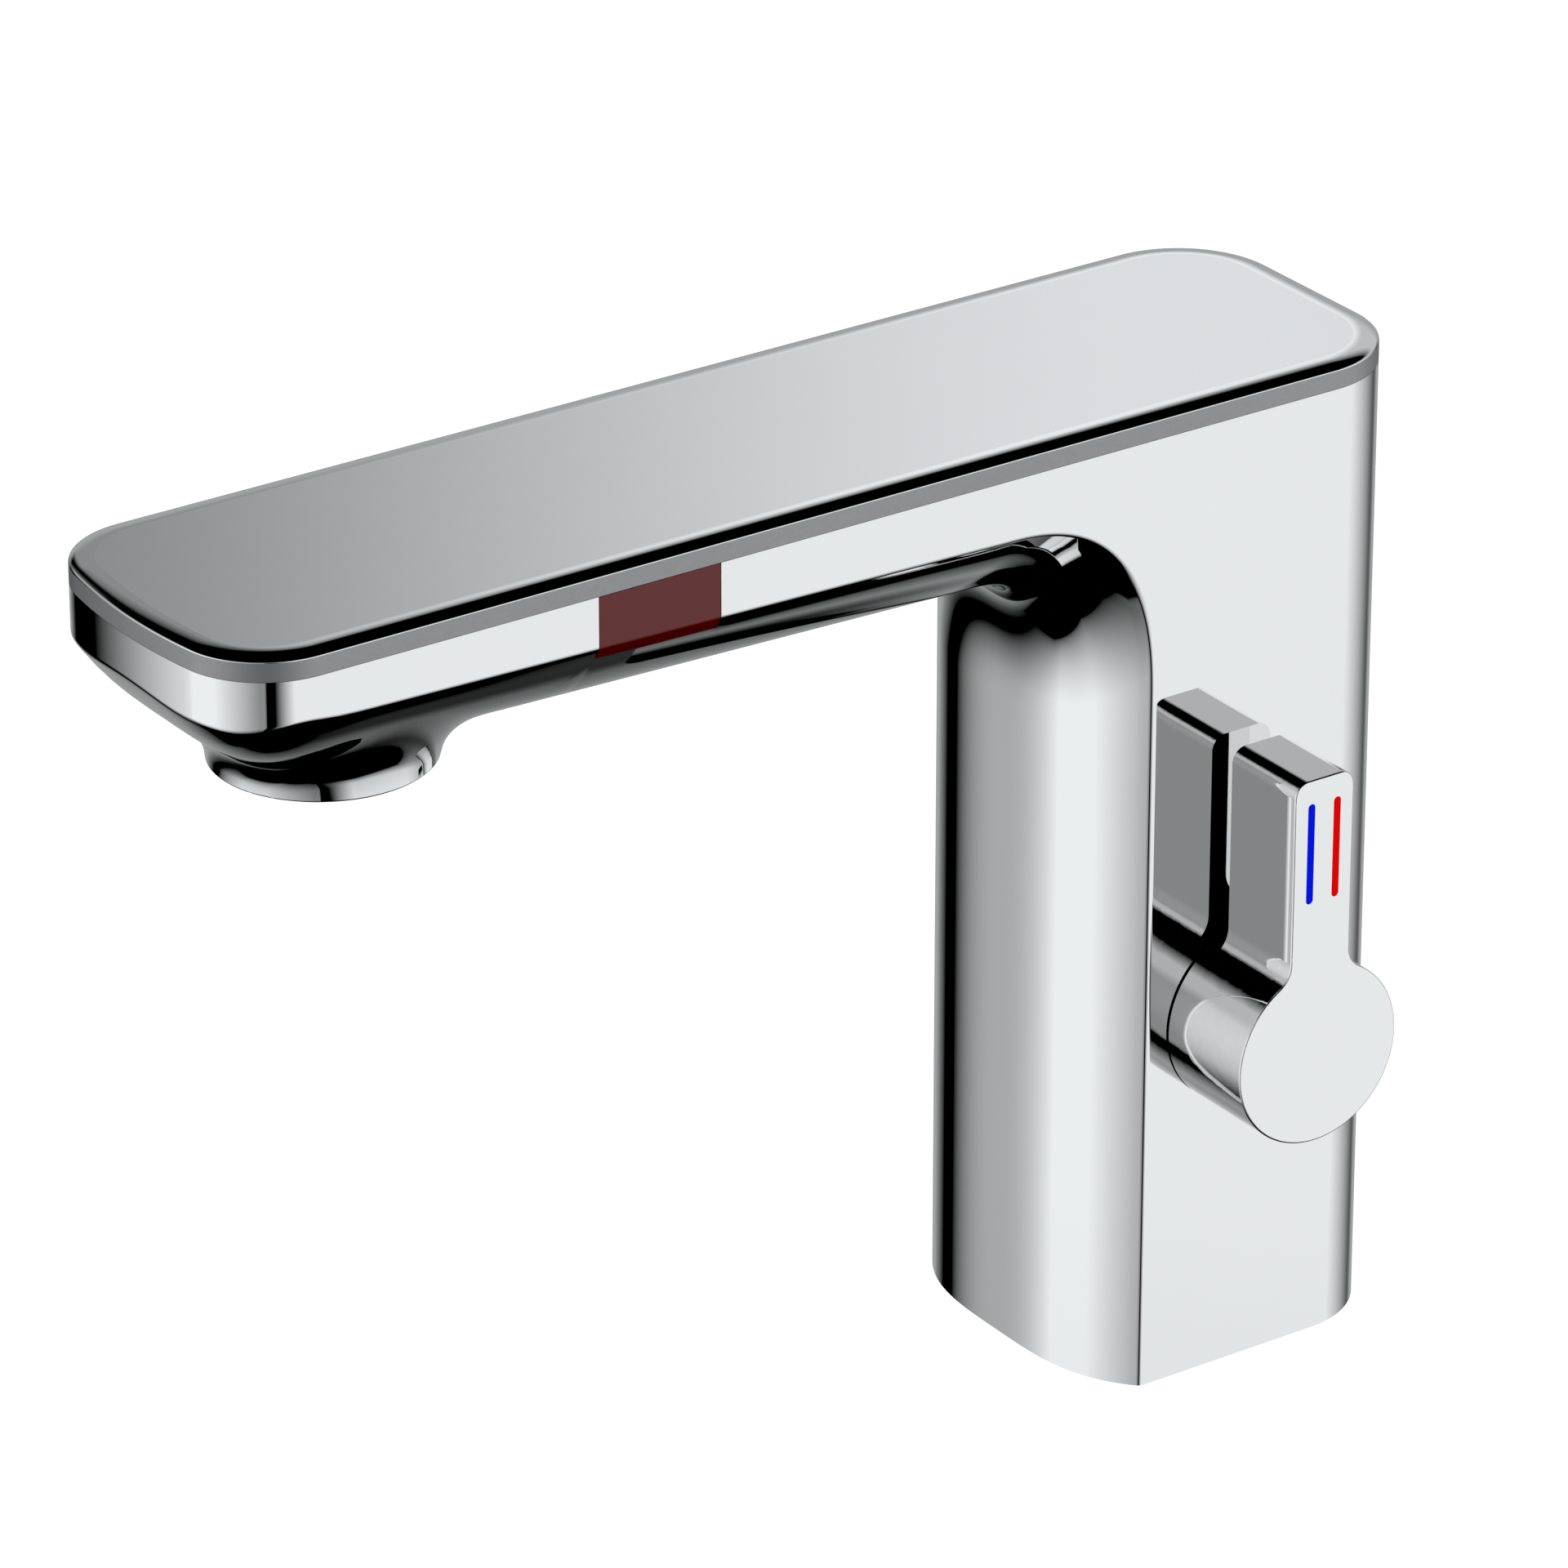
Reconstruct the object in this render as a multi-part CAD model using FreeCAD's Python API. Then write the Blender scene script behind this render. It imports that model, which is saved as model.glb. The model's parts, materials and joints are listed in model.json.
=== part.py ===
"""Deck-mounted sensor tap with a side mixing lever, one STEP file for each piece.

Millimetres. +Z is up and z = 0 is the deck. The origin is the centre of the deck hole under the
column. The spout points to -Y and the lever stands on the +X side.
"""
import FreeCAD, Part
import math
import os

from FreeCAD import Vector

# ---- outer shape -------------------------------------------------------------------------------
HALF_WIDTH = 25.0            # half the width of column and spout
COLUMN_BACK = 26.0           # y of the column's flat back
COLUMN_EDGE = -19.0          # y of the sharp edge between the side and the crowned front
COLUMN_CROWN = 7.0           # how far the front stands out beyond that edge at its middle
BACK_RADIUS = 14.5           # plan corner at the back
TIP_Y = -165.6               # y of the spout's front end
TIP_RADIUS = 13.0            # plan corner at the spout's end
TIP_BOW = 90.0               # plan radius of the bowed front end
SEAM_Z = 145.6               # underside of the cover
WALL = 2.5                   # wall of the casting
BAND_ROOT = 9.2              # height of the spout's flat side at the arch
BAND_TIP = 6.5               # the same at the spout's end
SPOUT_CROWN_ROOT = 12.8      # how deep the underside bulges below the side's lower edge
SPOUT_CROWN_TIP = 12.2
CROWN_POWER = 3.5            # 2 would be a parabola, and more is flatter with fuller shoulders
TIP_CROWN = 25.0             # length over which the underside rises to the front end
TIP_POWER = 4.2              # squareness of the underside's outline at the front corners
ARCH_END = -44.0             # y where the arch under the spout becomes straight
ARCH_POWER = 2.45            # squareness of the arch
ARCH_EDGE_HEIGHT = 29.0      # height of the arch along the side
ARCH_CROWN_HEIGHT = 24.0     # and along the middle
SKIN_OVERRUN = 1.1           # the crowned face is made this much wider than the tap, then trimmed
SKIN_BEYOND = 8.0            # and this far past the deck and the spout's end

# ---- cover -------------------------------------------------------------------------------------
COVER_RIM = 2.4              # upright rim of the cover
COVER_RISE = 0.8             # height of the soft bevel above the rim
COVER_BEVEL = 3.6            # width of that bevel
COVER_SKIN = 1.6             # thickness of the cover's plate
COVER_WALL = 2.6             # width of the cover's rim
GASKET = 0.3                 # thickness of the cover gasket, seen as a thin seam
GASKET_WIDTH = 1.6
GASKET_INSET = 0.35
CLIP_YS = (-30.0, -128.0)
CLIP_LENGTH = 8.0
CLIP_LEG = 1.8               # thickness of a clip's leg
CLIP_GAP = 1.4               # leg inside the casting's inner wall
CLIP_FOOT = 1.4              # height of the hook
CATCH_DROP = 3.2             # underside of the clip's catch below the casting's top
CATCH_DEPTH = 1.0
CATCH_HEIGHT = 1.2
CATCH_MARGIN = 1.0           # catch longer than the clip at each end

# ---- nozzle and aerator ------------------------------------------------------------------------
NOZZLE_SETBACK = 29.4        # nozzle axis behind the spout's end
NOZZLE_RADIUS = 15.5
NOZZLE_DROP = 5.4            # nozzle rim below the underside's middle
NOZZLE_FLARE = 6.0           # fillet between the nozzle and the underside
NOZZLE_ROOT = 4.0            # nozzle's wall run up into the underside
BOSS_STEP = 0.8              # ring behind the nozzle narrower than its wall
AERATOR_RADIUS = 12.0        # bore for the aerator
AERATOR_HEIGHT = 7.7
AERATOR_SETBACK = 0.3        # aerator above the nozzle's rim
AERATOR_WASHER = 1.5
WASHER_STEP = 0.5            # washer's hole wider than the water's drop
AERATOR_WALL = 1.8
AERATOR_LIP = 1.0            # height and reach of the lip that carries the insert
INSERT_HEIGHT = 3.0
INSERT_HOLE = 0.85           # radius of the insert's holes
INSERT_PITCH = 2.3
SCREEN_THICKNESS = 0.5
SCREEN_HOLE = 0.5
SCREEN_PITCH = 1.5
HOLE_MARGIN = 0.4            # least web outside the outermost holes
WATER_RADIUS = 3.0           # bore of the spout tube
TUBE_WALL = 1.0
SOCKET_WALL = 2.0
SOCKET_END = 19.0            # open end of the elbow's arm from the nozzle axis
SOCKET_DEPTH = 10.0
ELBOW_FLANGE = 2.5
DOME_WALL = 2.0              # elbow's dome round the socket's width
ARM_LIFT = 0.3               # elbow's arm above the underside of its flange
TUBE_BEND = 14.0
TUBE_TURN = 6.0              # second bend of the tube in front of the arch's end

# ---- lever -------------------------------------------------------------------------------------
LEVER_Y = -1.9               # axis of the lever and the cartridge, along X
LEVER_Z = 54.7
HUB_RADIUS = 13.5
HUB_GAP = 0.3                # joint between the hub and the side
HANDLE_REACH = 16.6          # front face of the handle from the side
LEVER_WIDTH = 10.0
LEVER_TOP = 42.3             # top of the lever above its axis
LEVER_CORNER = 2.2
LEVER_ROOT = 4.0             # fillet between lever and hub
LEVER_STANDOFF = 2.3         # back of the lever from the side
HANDLE_EDGE = 0.25           # softened edge of the handle's front
MARK_LENGTH = 15.2
MARK_WIDTH = 1.2
MARK_SPACING = 4.4
MARK_TOP = 38.8              # top of the marks above the lever's axis
MARK_DEPTH = 0.4
HUB_WALL = 2.0
STEM_COVER = 4.5             # front face of the handle beyond the stem
GRUB_RADIUS = 2.0
GRUB_LENGTH = 5.0
GRUB_SETBACK = 8.0           # grub screw behind the front face
GRUB_SOCKET = 2.2

# ---- cartridge ---------------------------------------------------------------------------------
CARTRIDGE_RADIUS = 12.5
CARTRIDGE_LENGTH = 22.0
CARTRIDGE_WALL = 1.8
CARTRIDGE_DEPTH = 30.3       # chamber floor that the cartridge seals on, behind the block's lever side
COLLAR_WALL = 3.0            # casting's collar round the cartridge
NECK_RADIUS = 8.5
NECK_LENGTH = 9.0
NUT_LENGTH = 6.0
NUT_SLOT = 3.0               # width of the nut's spanner slots
NUT_SLOT_DEPTH = 2.0
STEM_RADIUS = 4.0
CARRIER_LENGTH = 4.0
STEM_SEAL_SETBACK = 1.5      # stem's seal beyond the wide part of the cartridge
STEM_SEAL_DEPTH = 1.6
DISC_THICKNESS = 3.0
PASSAGE_ROOF = 1.0           # ceramic left over the moving disc's passage
SEAL_THICKNESS = 1.0
PORT_RADIUS = 2.2
PORT_SPACING = 6.0           # hot and cold ports from the cartridge's axis
PORT_RISE = 7.0              # mixed-water port above that axis

# ---- waterway block, inlets and valve ----------------------------------------------------------
BLOCK_BOTTOM = 28.0
BLOCK_TOP = 75.0
BLOCK_HALF = 20.5
BLOCK_CORNER = 3.0
BLOCK_CLEAR = 1.2            # block's lever side to the casting's inner wall
BLOCK_FRONT = -17.0
BLOCK_BACK = 13.0
GALLERY_RADIUS = 2.5
GALLERY_X = -14.8            # upright galleries behind the cartridge
GALLERY_COVER = 0.6          # lying galleries above the inlets' pockets
INLET_X = 8.5                # hot inlet at -x, cold inlet at +x
INLET_RADIUS = 6.5
INLET_THREAD = 4.5           # minor radius of an M10x1 hose thread
INLET_THREAD_LENGTH = 11.0
INLET_MOUTH = 3.0            # z of the open end of the inlet
SPIGOT = 6.0                 # inlet length held in the block
HEX_HEIGHT = 5.0
HEX_FLATS = 15.0
INLET_GROOVE = 1.2
CHECK_RADIUS = 4.5
CHECK_LENGTH = 12.0
CHECK_SEAT = 2.0             # height of the check valve's seat
CHECK_BORE = 2.3
CHECK_SHELF = 1.0            # shelf under the check valve, wide and high
CHECK_WALL = 0.8
BRIDGE = 2.0                 # height of the bridge that guides the poppet
BRIDGE_WIDTH = 2.4
POPPET_RADIUS = 3.1
POPPET_DISC = 1.6
POPPET_STEM = 0.9
CHECK_SPRING_RADIUS = 1.8
CHECK_SPRING_WIRE = 0.25
SPRING_TURNS = 5
VALVE_TOP = 91.0
VALVE_INSET = 1.5            # valve body inside the block's outline
VALVE_SIDE = 0.5             # the same at its two sides
VALVE_CORNER = 2.5
VALVE_RING_GAP = 0.8         # seal outside the gallery it surrounds
VALVE_RING = 1.5
MANIFOLD_THREAD = 9.0        # depth of the screw holes in the block
SCREW_EDGE = 2.9             # manifold screws inside the valve's front and back
SCREW_SIDE = 2.5             # and inside its two sides
VALVE_X = -6.0               # axis of the solenoid
CHAMBER_RADIUS = 9.0
CHAMBER_DEPTH = 2.5          # chamber floor below the seat
SEAT_RADIUS = 4.2
SEAT_Z = 83.5
OUTLET_X = 14.0              # foot of the spout tube
OUTLET_RISE = 3.4            # valve's outlet gallery above the block
OUTLET_RADIUS = 2.0
SEAL_HEIGHT = 1.6
SEAL_MARGIN = 0.3            # rubber face wider than the seat
PLUNGER_RADIUS = 5.2
PLUNGER_LENGTH = 18.0
PLUNGER_TRAVEL = 2.0
CORE_GAP = 1.0               # left between plunger and core with the valve open
CORE_LENGTH = 7.0
SPRING_POCKET = 6.0
SPRING_POCKET_GAP = 0.4
SPRING_RADIUS = 2.2
SPRING_WIRE = 0.35
GUIDE_WALL = 0.7
GUIDE_CAP = 1.5
FLANGE = 2.0
FLANGE_REACH = 1.8           # guide's flange wider than the chamber
COIL_RADIUS = 12.0
COIL_HEIGHT = 21.0
COLLAR = 0.6                 # collars of the bobbin beyond the coil
COLLAR_HEIGHT = 1.5
YOKE = 1.2
YOKE_HALF = 8.5

# ---- base --------------------------------------------------------------------------------------
BASE_GASKET = 2.0
BASE_PLATE = 5.0
DECK_HOLE = 17.5             # radius inside which stud, hoses and cable pass
STUD_Y = 11.5
STUD_RADIUS = 3.4            # minor radius of the M8 stud thread
CABLE_Y = -12.5
CABLE_RADIUS = 2.5           # bore of the cable grommet
GROMMET_RADIUS = 4.5
GROMMET_FLANGE = 1.0
PASSAGE_GAP = 0.3            # base plate round the inlets
BOSS_INSET = 8.5             # screw bosses inside the column's sides
BOSS_BACK = 16.5
BOSS_FRONT = -13.0
BOSS_RADIUS = 4.5
BOSS_HEIGHT = 9.0
BOSS_CAP = 1.0               # metal left above the screw holes

# ---- electronics -------------------------------------------------------------------------------
WINDOW_START = -109.1        # y of the sensor window's two ends
WINDOW_END = -90.1
WINDOW_WRAP = 1.75           # how far the window reaches round the lower edge
WINDOW_STEP = 0.2            # window's inner face behind the casting's inner wall
TRAY_GAP = 0.6               # tray above the spout tube
TRAY_PLATE = 1.2
TRAY_FRONT = -112.0
TRAY_BACK = -48.0
TRAY_HALF = 19.5
SENSOR_SPLIT = 9.5           # the tray stops here beside the sensor head
HEAD_GAP = 3.0               # wide part of the tray behind the sensor head
LEDGE_YS = (-56.0, -80.0)
LEDGE_LENGTH = 8.0
LEDGE_HEIGHT = 3.0
LEDGE_REACH = 4.0            # ledge under the tray's edge
TRAY_SCREW_INSET = 2.0       # tray's screws inside its edge
TRAY_SCREW_DEPTH = 2.2
POST_RADIUS = 2.0
POST_FLOOR = 0.4             # plastic left under the posts' screw holes
POST_INSET = 5.0             # posts inside the tray's two ends
POST_LEFT = 6.5              # and inside its two sides
POST_RIGHT = 4.0
BOARD_GAP = 0.8
BOARD = 1.2
BOARD_INSET = 2.0            # board inside the tray's ends
BOARD_SIDE = 1.5
BOARD_CLEAR = 0.4            # board beside the heads of the tray's screws
COMPONENTS = (               # first x, size x, first y, size y and height of the board's parts
    (-8.0, 8.0, -84.0, 8.0, 1.0),
    (-12.0, 5.0, -64.0, 6.0, 1.4),
    (0.0, 4.0, -66.0, 4.0, 1.6),
    (-4.0, 4.0, -96.0, 4.0, 1.6),
    (-12.0, 4.0, -98.0, 4.0, 1.6),
)
PLUG_CLEAR = 1.2             # plug row beside the heads of the board's screws
PLUG_PITCH = 4.0
PLUG_YS = (-56.0, -51.0)
PLUG_HEIGHT = 1.8
PLUG_WALL = 1.0
PLUG_FLOOR = 0.6
HEAD_SPLIT = 1.0             # sensor board beside the tray
HEAD_CLEAR = 0.3             # sensor head to the casting and the cover
HEAD_END_GAP = 0.5           # and inside the window's two ends
HEAD_DROP = 0.8              # underside of the sensor head below the tray's
HEAD_WALL = 0.5              # above and below the eyes
HEAD_BACK_WALL = 1.5
SENSOR_BOARD = 1.0
EYE_SETBACK = 0.5            # tip of the eye's dome inside the head's open face
EYE_SPACING = 9.2

# ---- fasteners and fits ------------------------------------------------------------------------
M3_RADIUS = 1.5
M3_HEAD = 2.7
M3_HEAD_HEIGHT = 1.8
M4_RADIUS = 2.0
M4_HEAD = 3.6
M4_HEAD_HEIGHT = 2.2
M2_RADIUS = 1.0
M2_HEAD = 1.8
M2_HEAD_HEIGHT = 1.0
SCREW_TIP = 1.0              # free hole below a screw's end
SLIP = 0.1                   # radial clearance of a piece in its pocket
RUN = 0.05                   # radial clearance of a turning or sliding piece
PAST = 1.0                   # a cut runs this far past the face that it opens
BITE = 0.5                   # pads and ribs run this far into the wall that carries them

# ---- places that follow from the sizes above ---------------------------------------------------
BODY_TOP = SEAM_Z - GASKET
COVER_TOP = SEAM_Z + COVER_RIM + COVER_RISE
NOZZLE_Y = TIP_Y + NOZZLE_SETBACK
FRONT_X = HALF_WIDTH + HANDLE_REACH
INNER_HALF = HALF_WIDTH - WALL
CATCH_Z = BODY_TOP - CATCH_DROP
CARTRIDGE_BORE = CARTRIDGE_RADIUS + SLIP
PLATE_TOP = BASE_GASKET + BASE_PLATE
BLOCK_FACE = INNER_HALF - BLOCK_CLEAR
CARTRIDGE_END = BLOCK_FACE - CARTRIDGE_DEPTH
BOSS_X = HALF_WIDTH - BOSS_INSET
TRAY_SCREW_X = TRAY_HALF - TRAY_SCREW_INSET
LEDGE_X = TRAY_HALF - LEDGE_REACH
BOARD_EDGE = TRAY_SCREW_X - M2_HEAD - BOARD_CLEAR
PLUG_START = POST_LEFT - TRAY_HALF + M2_HEAD + PLUG_CLEAR
VALVE_HALF = BLOCK_HALF - VALVE_SIDE

ALONG_X, ALONG_Y, ALONG_Z = Vector(1, 0, 0), Vector(0, 1, 0), Vector(0, 0, 1)


# ---- small helpers -----------------------------------------------------------------------------
def box(x0, x1, y0, y1, z0, z1):
    return Part.makeBox(x1 - x0, y1 - y0, z1 - z0, Vector(x0, y0, z0))


def sided_box(x0, x1, y0, y1, z0, z1):
    """Box between two x values given in either order."""
    return box(min(x0, x1), max(x0, x1), y0, y1, z0, z1)


def rod(radius, start, end):
    """Solid cylinder between two points."""
    run = end - start
    return Part.makeCylinder(radius, run.Length, start, run)


def upright(radius, x, y, z0, z1):
    """Solid cylinder along Z."""
    return rod(radius, Vector(x, y, z0), Vector(x, y, z1))


def upright_tube(outer, inner, x, y, z0, z1):
    return upright(outer, x, y, z0, z1).cut(upright(inner, x, y, z0 - PAST, z1 + PAST))


def across(radius, x0, x1, y=LEVER_Y, z=LEVER_Z):
    """Solid cylinder along X, by default on the lever's axis."""
    return rod(radius, Vector(x0, y, z), Vector(x1, y, z))


def join(shapes):
    first, rest = shapes[0], shapes[1:]
    return first.fuse(rest).removeSplitter() if rest else first


def group(shapes):
    """Several separate solids of one kind."""
    return Part.makeCompound(shapes)


def o_ring(centre, axis, inner, outer):
    """Ring of round section that fills a groove between two radii."""
    section = (outer - inner) / 2 - RUN / 2
    return Part.makeTorus((outer + inner) / 2, section, centre, axis)


def arc(centre_x, centre_y, radius, start, end, z):
    angles = (start, (start + end) / 2, end)
    points = [Vector(centre_x + radius * math.cos(a), centre_y + radius * math.sin(a), z) for a in angles]
    return Part.Arc(*points).toShape()


def ring_of_arcs(arcs):
    """Closed wire of arcs joined by straight lines."""
    edges = []
    for piece, following in zip(arcs, arcs[1:] + arcs[:1]):
        end = piece.valueAt(piece.LastParameter)
        start = following.valueAt(following.FirstParameter)
        edges.append(piece)
        if end.distanceToPoint(start) > 1e-6:
            edges.append(Part.makeLine(end, start))
    return Part.Wire(edges)


def screw(x, y, z, length, radius, head, head_height, down=True):
    """Cap screw whose head seats at height z, with a hexagon socket."""
    sign = 1 if down else -1
    shank = upright(radius - RUN, x, y, min(z, z - sign * length), max(z, z - sign * length))
    cap = upright(head, x, y, min(z, z + sign * head_height), max(z, z + sign * head_height))
    socket = hexagon(head * 1.05, x, y, z + sign * head_height * 0.45, z + sign * (head_height + 1))
    return shank.fuse(cap).cut(socket)


def hexagon(flats, x, y, z0, z1):
    """Upright hexagonal prism with flats that face +X and -X."""
    corner = flats / math.sqrt(3)
    angles = [math.radians(30 + 60 * k) for k in range(7)]
    points = [Vector(x + corner * math.cos(a), y + corner * math.sin(a), min(z0, z1)) for a in angles]
    return Part.Face(Part.makePolygon(points)).extrude(Vector(0, 0, abs(z1 - z0)))


def spring(x, y, z0, z1, mean_radius, wire, turns):
    """Compression spring along Z, one unbroken helix between two heights."""
    rise = z1 - z0 - 2 * wire
    helix = Part.makeHelix(rise / turns, rise, mean_radius)
    helix.translate(Vector(x, y, z0 + wire))
    start = Vector(x + mean_radius, y, z0 + wire)
    section = Part.Wire(Part.makeCircle(wire, start, ALONG_Y))
    return Part.Wire(helix.Edges).makePipeShell([section], True, True)


# ---- outer skin --------------------------------------------------------------------------------
def plan_outline(inset, z):
    """Outline of the tap from above: bowed front with round corners, straight sides, round back."""
    back_radius = BACK_RADIUS - inset
    back_x = HALF_WIDTH - BACK_RADIUS
    back_y = COLUMN_BACK - BACK_RADIUS
    bow_y = TIP_Y + TIP_BOW
    corner_x = HALF_WIDTH - TIP_RADIUS
    corner_y = bow_y - math.sqrt((TIP_BOW - TIP_RADIUS) ** 2 - corner_x ** 2)
    corner_radius = TIP_RADIUS - inset
    turn = math.atan2(bow_y - corner_y, corner_x)
    quarter = math.pi / 2
    return ring_of_arcs([
        arc(back_x, back_y, back_radius, 0, quarter, z),
        arc(-back_x, back_y, back_radius, quarter, 2 * quarter, z),
        arc(-corner_x, corner_y, corner_radius, math.pi, math.pi + turn, z),
        arc(0, bow_y, TIP_BOW - inset, math.pi + turn, 2 * math.pi - turn, z),
        arc(corner_x, corner_y, corner_radius, 2 * math.pi - turn, 2 * math.pi, z),
    ])


def band_share(y):
    """0 where the arch ends and 1 at the spout's front end."""
    return (ARCH_END - y) / (ARCH_END - TIP_Y)


def side_edge_z(y):
    """Height of the sharp lower edge of the spout's side."""
    return SEAM_Z - BAND_ROOT + (BAND_ROOT - BAND_TIP) * band_share(y)


def crown_depth(y):
    return SPOUT_CROWN_ROOT + (SPOUT_CROWN_TIP - SPOUT_CROWN_ROOT) * band_share(y)


def skin(inset):
    """Crowned face of the column's front, the arch and the spout's underside, set in by inset.

    Each row crosses the tap. It swings from an edge line at the sides to a crown line in the
    middle by 1 - |x / half width| ** power. The rows climb the column, turn round the arch on
    two superellipses and run along the spout, where the crown fades towards the front end.
    """
    half = HALF_WIDTH - inset
    edge_y = COLUMN_EDGE + inset
    crown_y = edge_y - COLUMN_CROWN
    edge_top = side_edge_z(ARCH_END) + inset
    crown_top = edge_top - crown_depth(ARCH_END)
    edge_spring = edge_top - ARCH_EDGE_HEIGHT - inset
    crown_spring = crown_top - ARCH_CROWN_HEIGHT - inset
    span = [SKIN_OVERRUN * k / 12 for k in range(-12, 13)]
    below_deck = -SKIN_BEYOND

    def swing(edge, crown):
        shares = [1 - abs(t) ** CROWN_POWER for t in span]
        return [Vector(t * half, edge[0] + (crown[0] - edge[0]) * s, edge[1] + (crown[1] - edge[1]) * s)
                for t, s in zip(span, shares)]

    def arch(start_y, spring_z, top_z, turn):
        along = math.cos(turn) ** (2 / ARCH_POWER)
        up = math.sin(turn) ** (2 / ARCH_POWER)
        return ARCH_END + (start_y - ARCH_END) * along, spring_z + (top_z - spring_z) * up

    column = [swing((edge_y, below_deck + (edge_spring - below_deck) * k / 12),
                    (crown_y, below_deck + (crown_spring - below_deck) * k / 12)) for k in range(12)]
    turns = [math.pi / 2 * k / 16 for k in range(16)]
    curve = [swing(arch(edge_y, edge_spring, edge_top, turn),
                   arch(crown_y, crown_spring, crown_top, turn)) for turn in turns]

    fade_start = TIP_Y + TIP_CROWN
    beyond = TIP_Y - SKIN_BEYOND
    straight = [ARCH_END + (fade_start - ARCH_END) * k / 14 for k in range(14)]
    faded = [fade_start + (beyond - fade_start) * k / 12 for k in range(13)]
    spout = []
    for y in straight + faded:
        fade = max(0.0, fade_start - y) / (TIP_CROWN - inset)
        shares = [1 - (abs(t) ** TIP_POWER + fade ** TIP_POWER) ** (CROWN_POWER / TIP_POWER) for t in span]
        spout.append([Vector(t * half, y, side_edge_z(y) + inset - crown_depth(y) * s)
                      for t, s in zip(span, shares)])
    surface = Part.BSplineSurface()
    surface.interpolate(column + curve + spout)
    return surface.toShape()


def tap_space(inset, z0, z1):
    """Solid inside the outer skin, set in by inset, between two heights."""
    prism = Part.Face(plan_outline(inset, z0)).extrude(Vector(0, 0, z1 - z0))
    pieces = prism.generalFuse([skin(inset)])[0].Solids
    middle = Vector(0, 0, (z0 + z1) / 2)
    return [piece for piece in pieces if piece.isInside(middle, 0.01, True)][0]


UNDERSIDE_Z = side_edge_z(NOZZLE_Y) - crown_depth(NOZZLE_Y)
NOZZLE_Z = UNDERSIDE_Z - NOZZLE_DROP
AERATOR_Z = NOZZLE_Z + AERATOR_SETBACK
BOSS_TOP = AERATOR_Z + AERATOR_HEIGHT + AERATOR_WASHER
BOSS_WALL = NOZZLE_RADIUS - BOSS_STEP
ELBOW_SOCKET = WATER_RADIUS + TUBE_WALL + SLIP + SOCKET_WALL
TUBE_Z = BOSS_TOP + ELBOW_SOCKET + ARM_LIFT
TRAY_Z = TUBE_Z + WATER_RADIUS + TUBE_WALL + TRAY_GAP


# ---- casting -----------------------------------------------------------------------------------
def nozzle_edges(shape):
    """Edges where the nozzle's wall meets the underside."""
    found = []
    for edge in shape.Edges:
        first, last = edge.FirstParameter, edge.LastParameter
        points = [edge.valueAt(first + (last - first) * k / 6) for k in range(7)]
        on_wall = all(abs(math.hypot(p.x, p.y - NOZZLE_Y) - NOZZLE_RADIUS) < 0.02 for p in points)
        heights = [p.z for p in points]
        if on_wall and min(heights) > NOZZLE_Z + 1 and max(heights) - min(heights) > 0.05:
            found.append(edge)
    return found


def window_block(clearance):
    """Space of the sensor window, with the clearance of its pocket."""
    y0, y1 = WINDOW_START - clearance, WINDOW_END + clearance
    bottom = side_edge_z((y0 + y1) / 2) - WINDOW_WRAP - clearance
    return box(INNER_HALF - WINDOW_STEP - clearance, HALF_WIDTH + PAST, y0, y1, bottom, BODY_TOP + PAST)


def ledges():
    """Pads inside the spout that carry the electronics tray, on both sides."""
    pads = []
    for y in LEDGE_YS:
        low, high = y - LEDGE_LENGTH / 2, y + LEDGE_LENGTH / 2
        pads += [sided_box(side * LEDGE_X, side * (INNER_HALF + BITE), low, high,
                           TRAY_Z - LEDGE_HEIGHT, TRAY_Z) for side in (-1, 1)]
    return pads


def clip_catches():
    """Ribs on the inner walls that the cover clips hook under."""
    ribs = []
    for y in CLIP_YS:
        reach = CLIP_LENGTH / 2 + CATCH_MARGIN
        ribs += [sided_box(side * (INNER_HALF - CATCH_DEPTH), side * (INNER_HALF + BITE), y - reach,
                           y + reach, CATCH_Z, CATCH_Z + CATCH_HEIGHT) for side in (-1, 1)]
    return ribs


def boss_places():
    return [(side * BOSS_X, y) for side in (-1, 1) for y in (BOSS_FRONT, BOSS_BACK)]


def tray_screw_places():
    return [(side * TRAY_SCREW_X, y) for side in (-1, 1) for y in LEDGE_YS]


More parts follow.
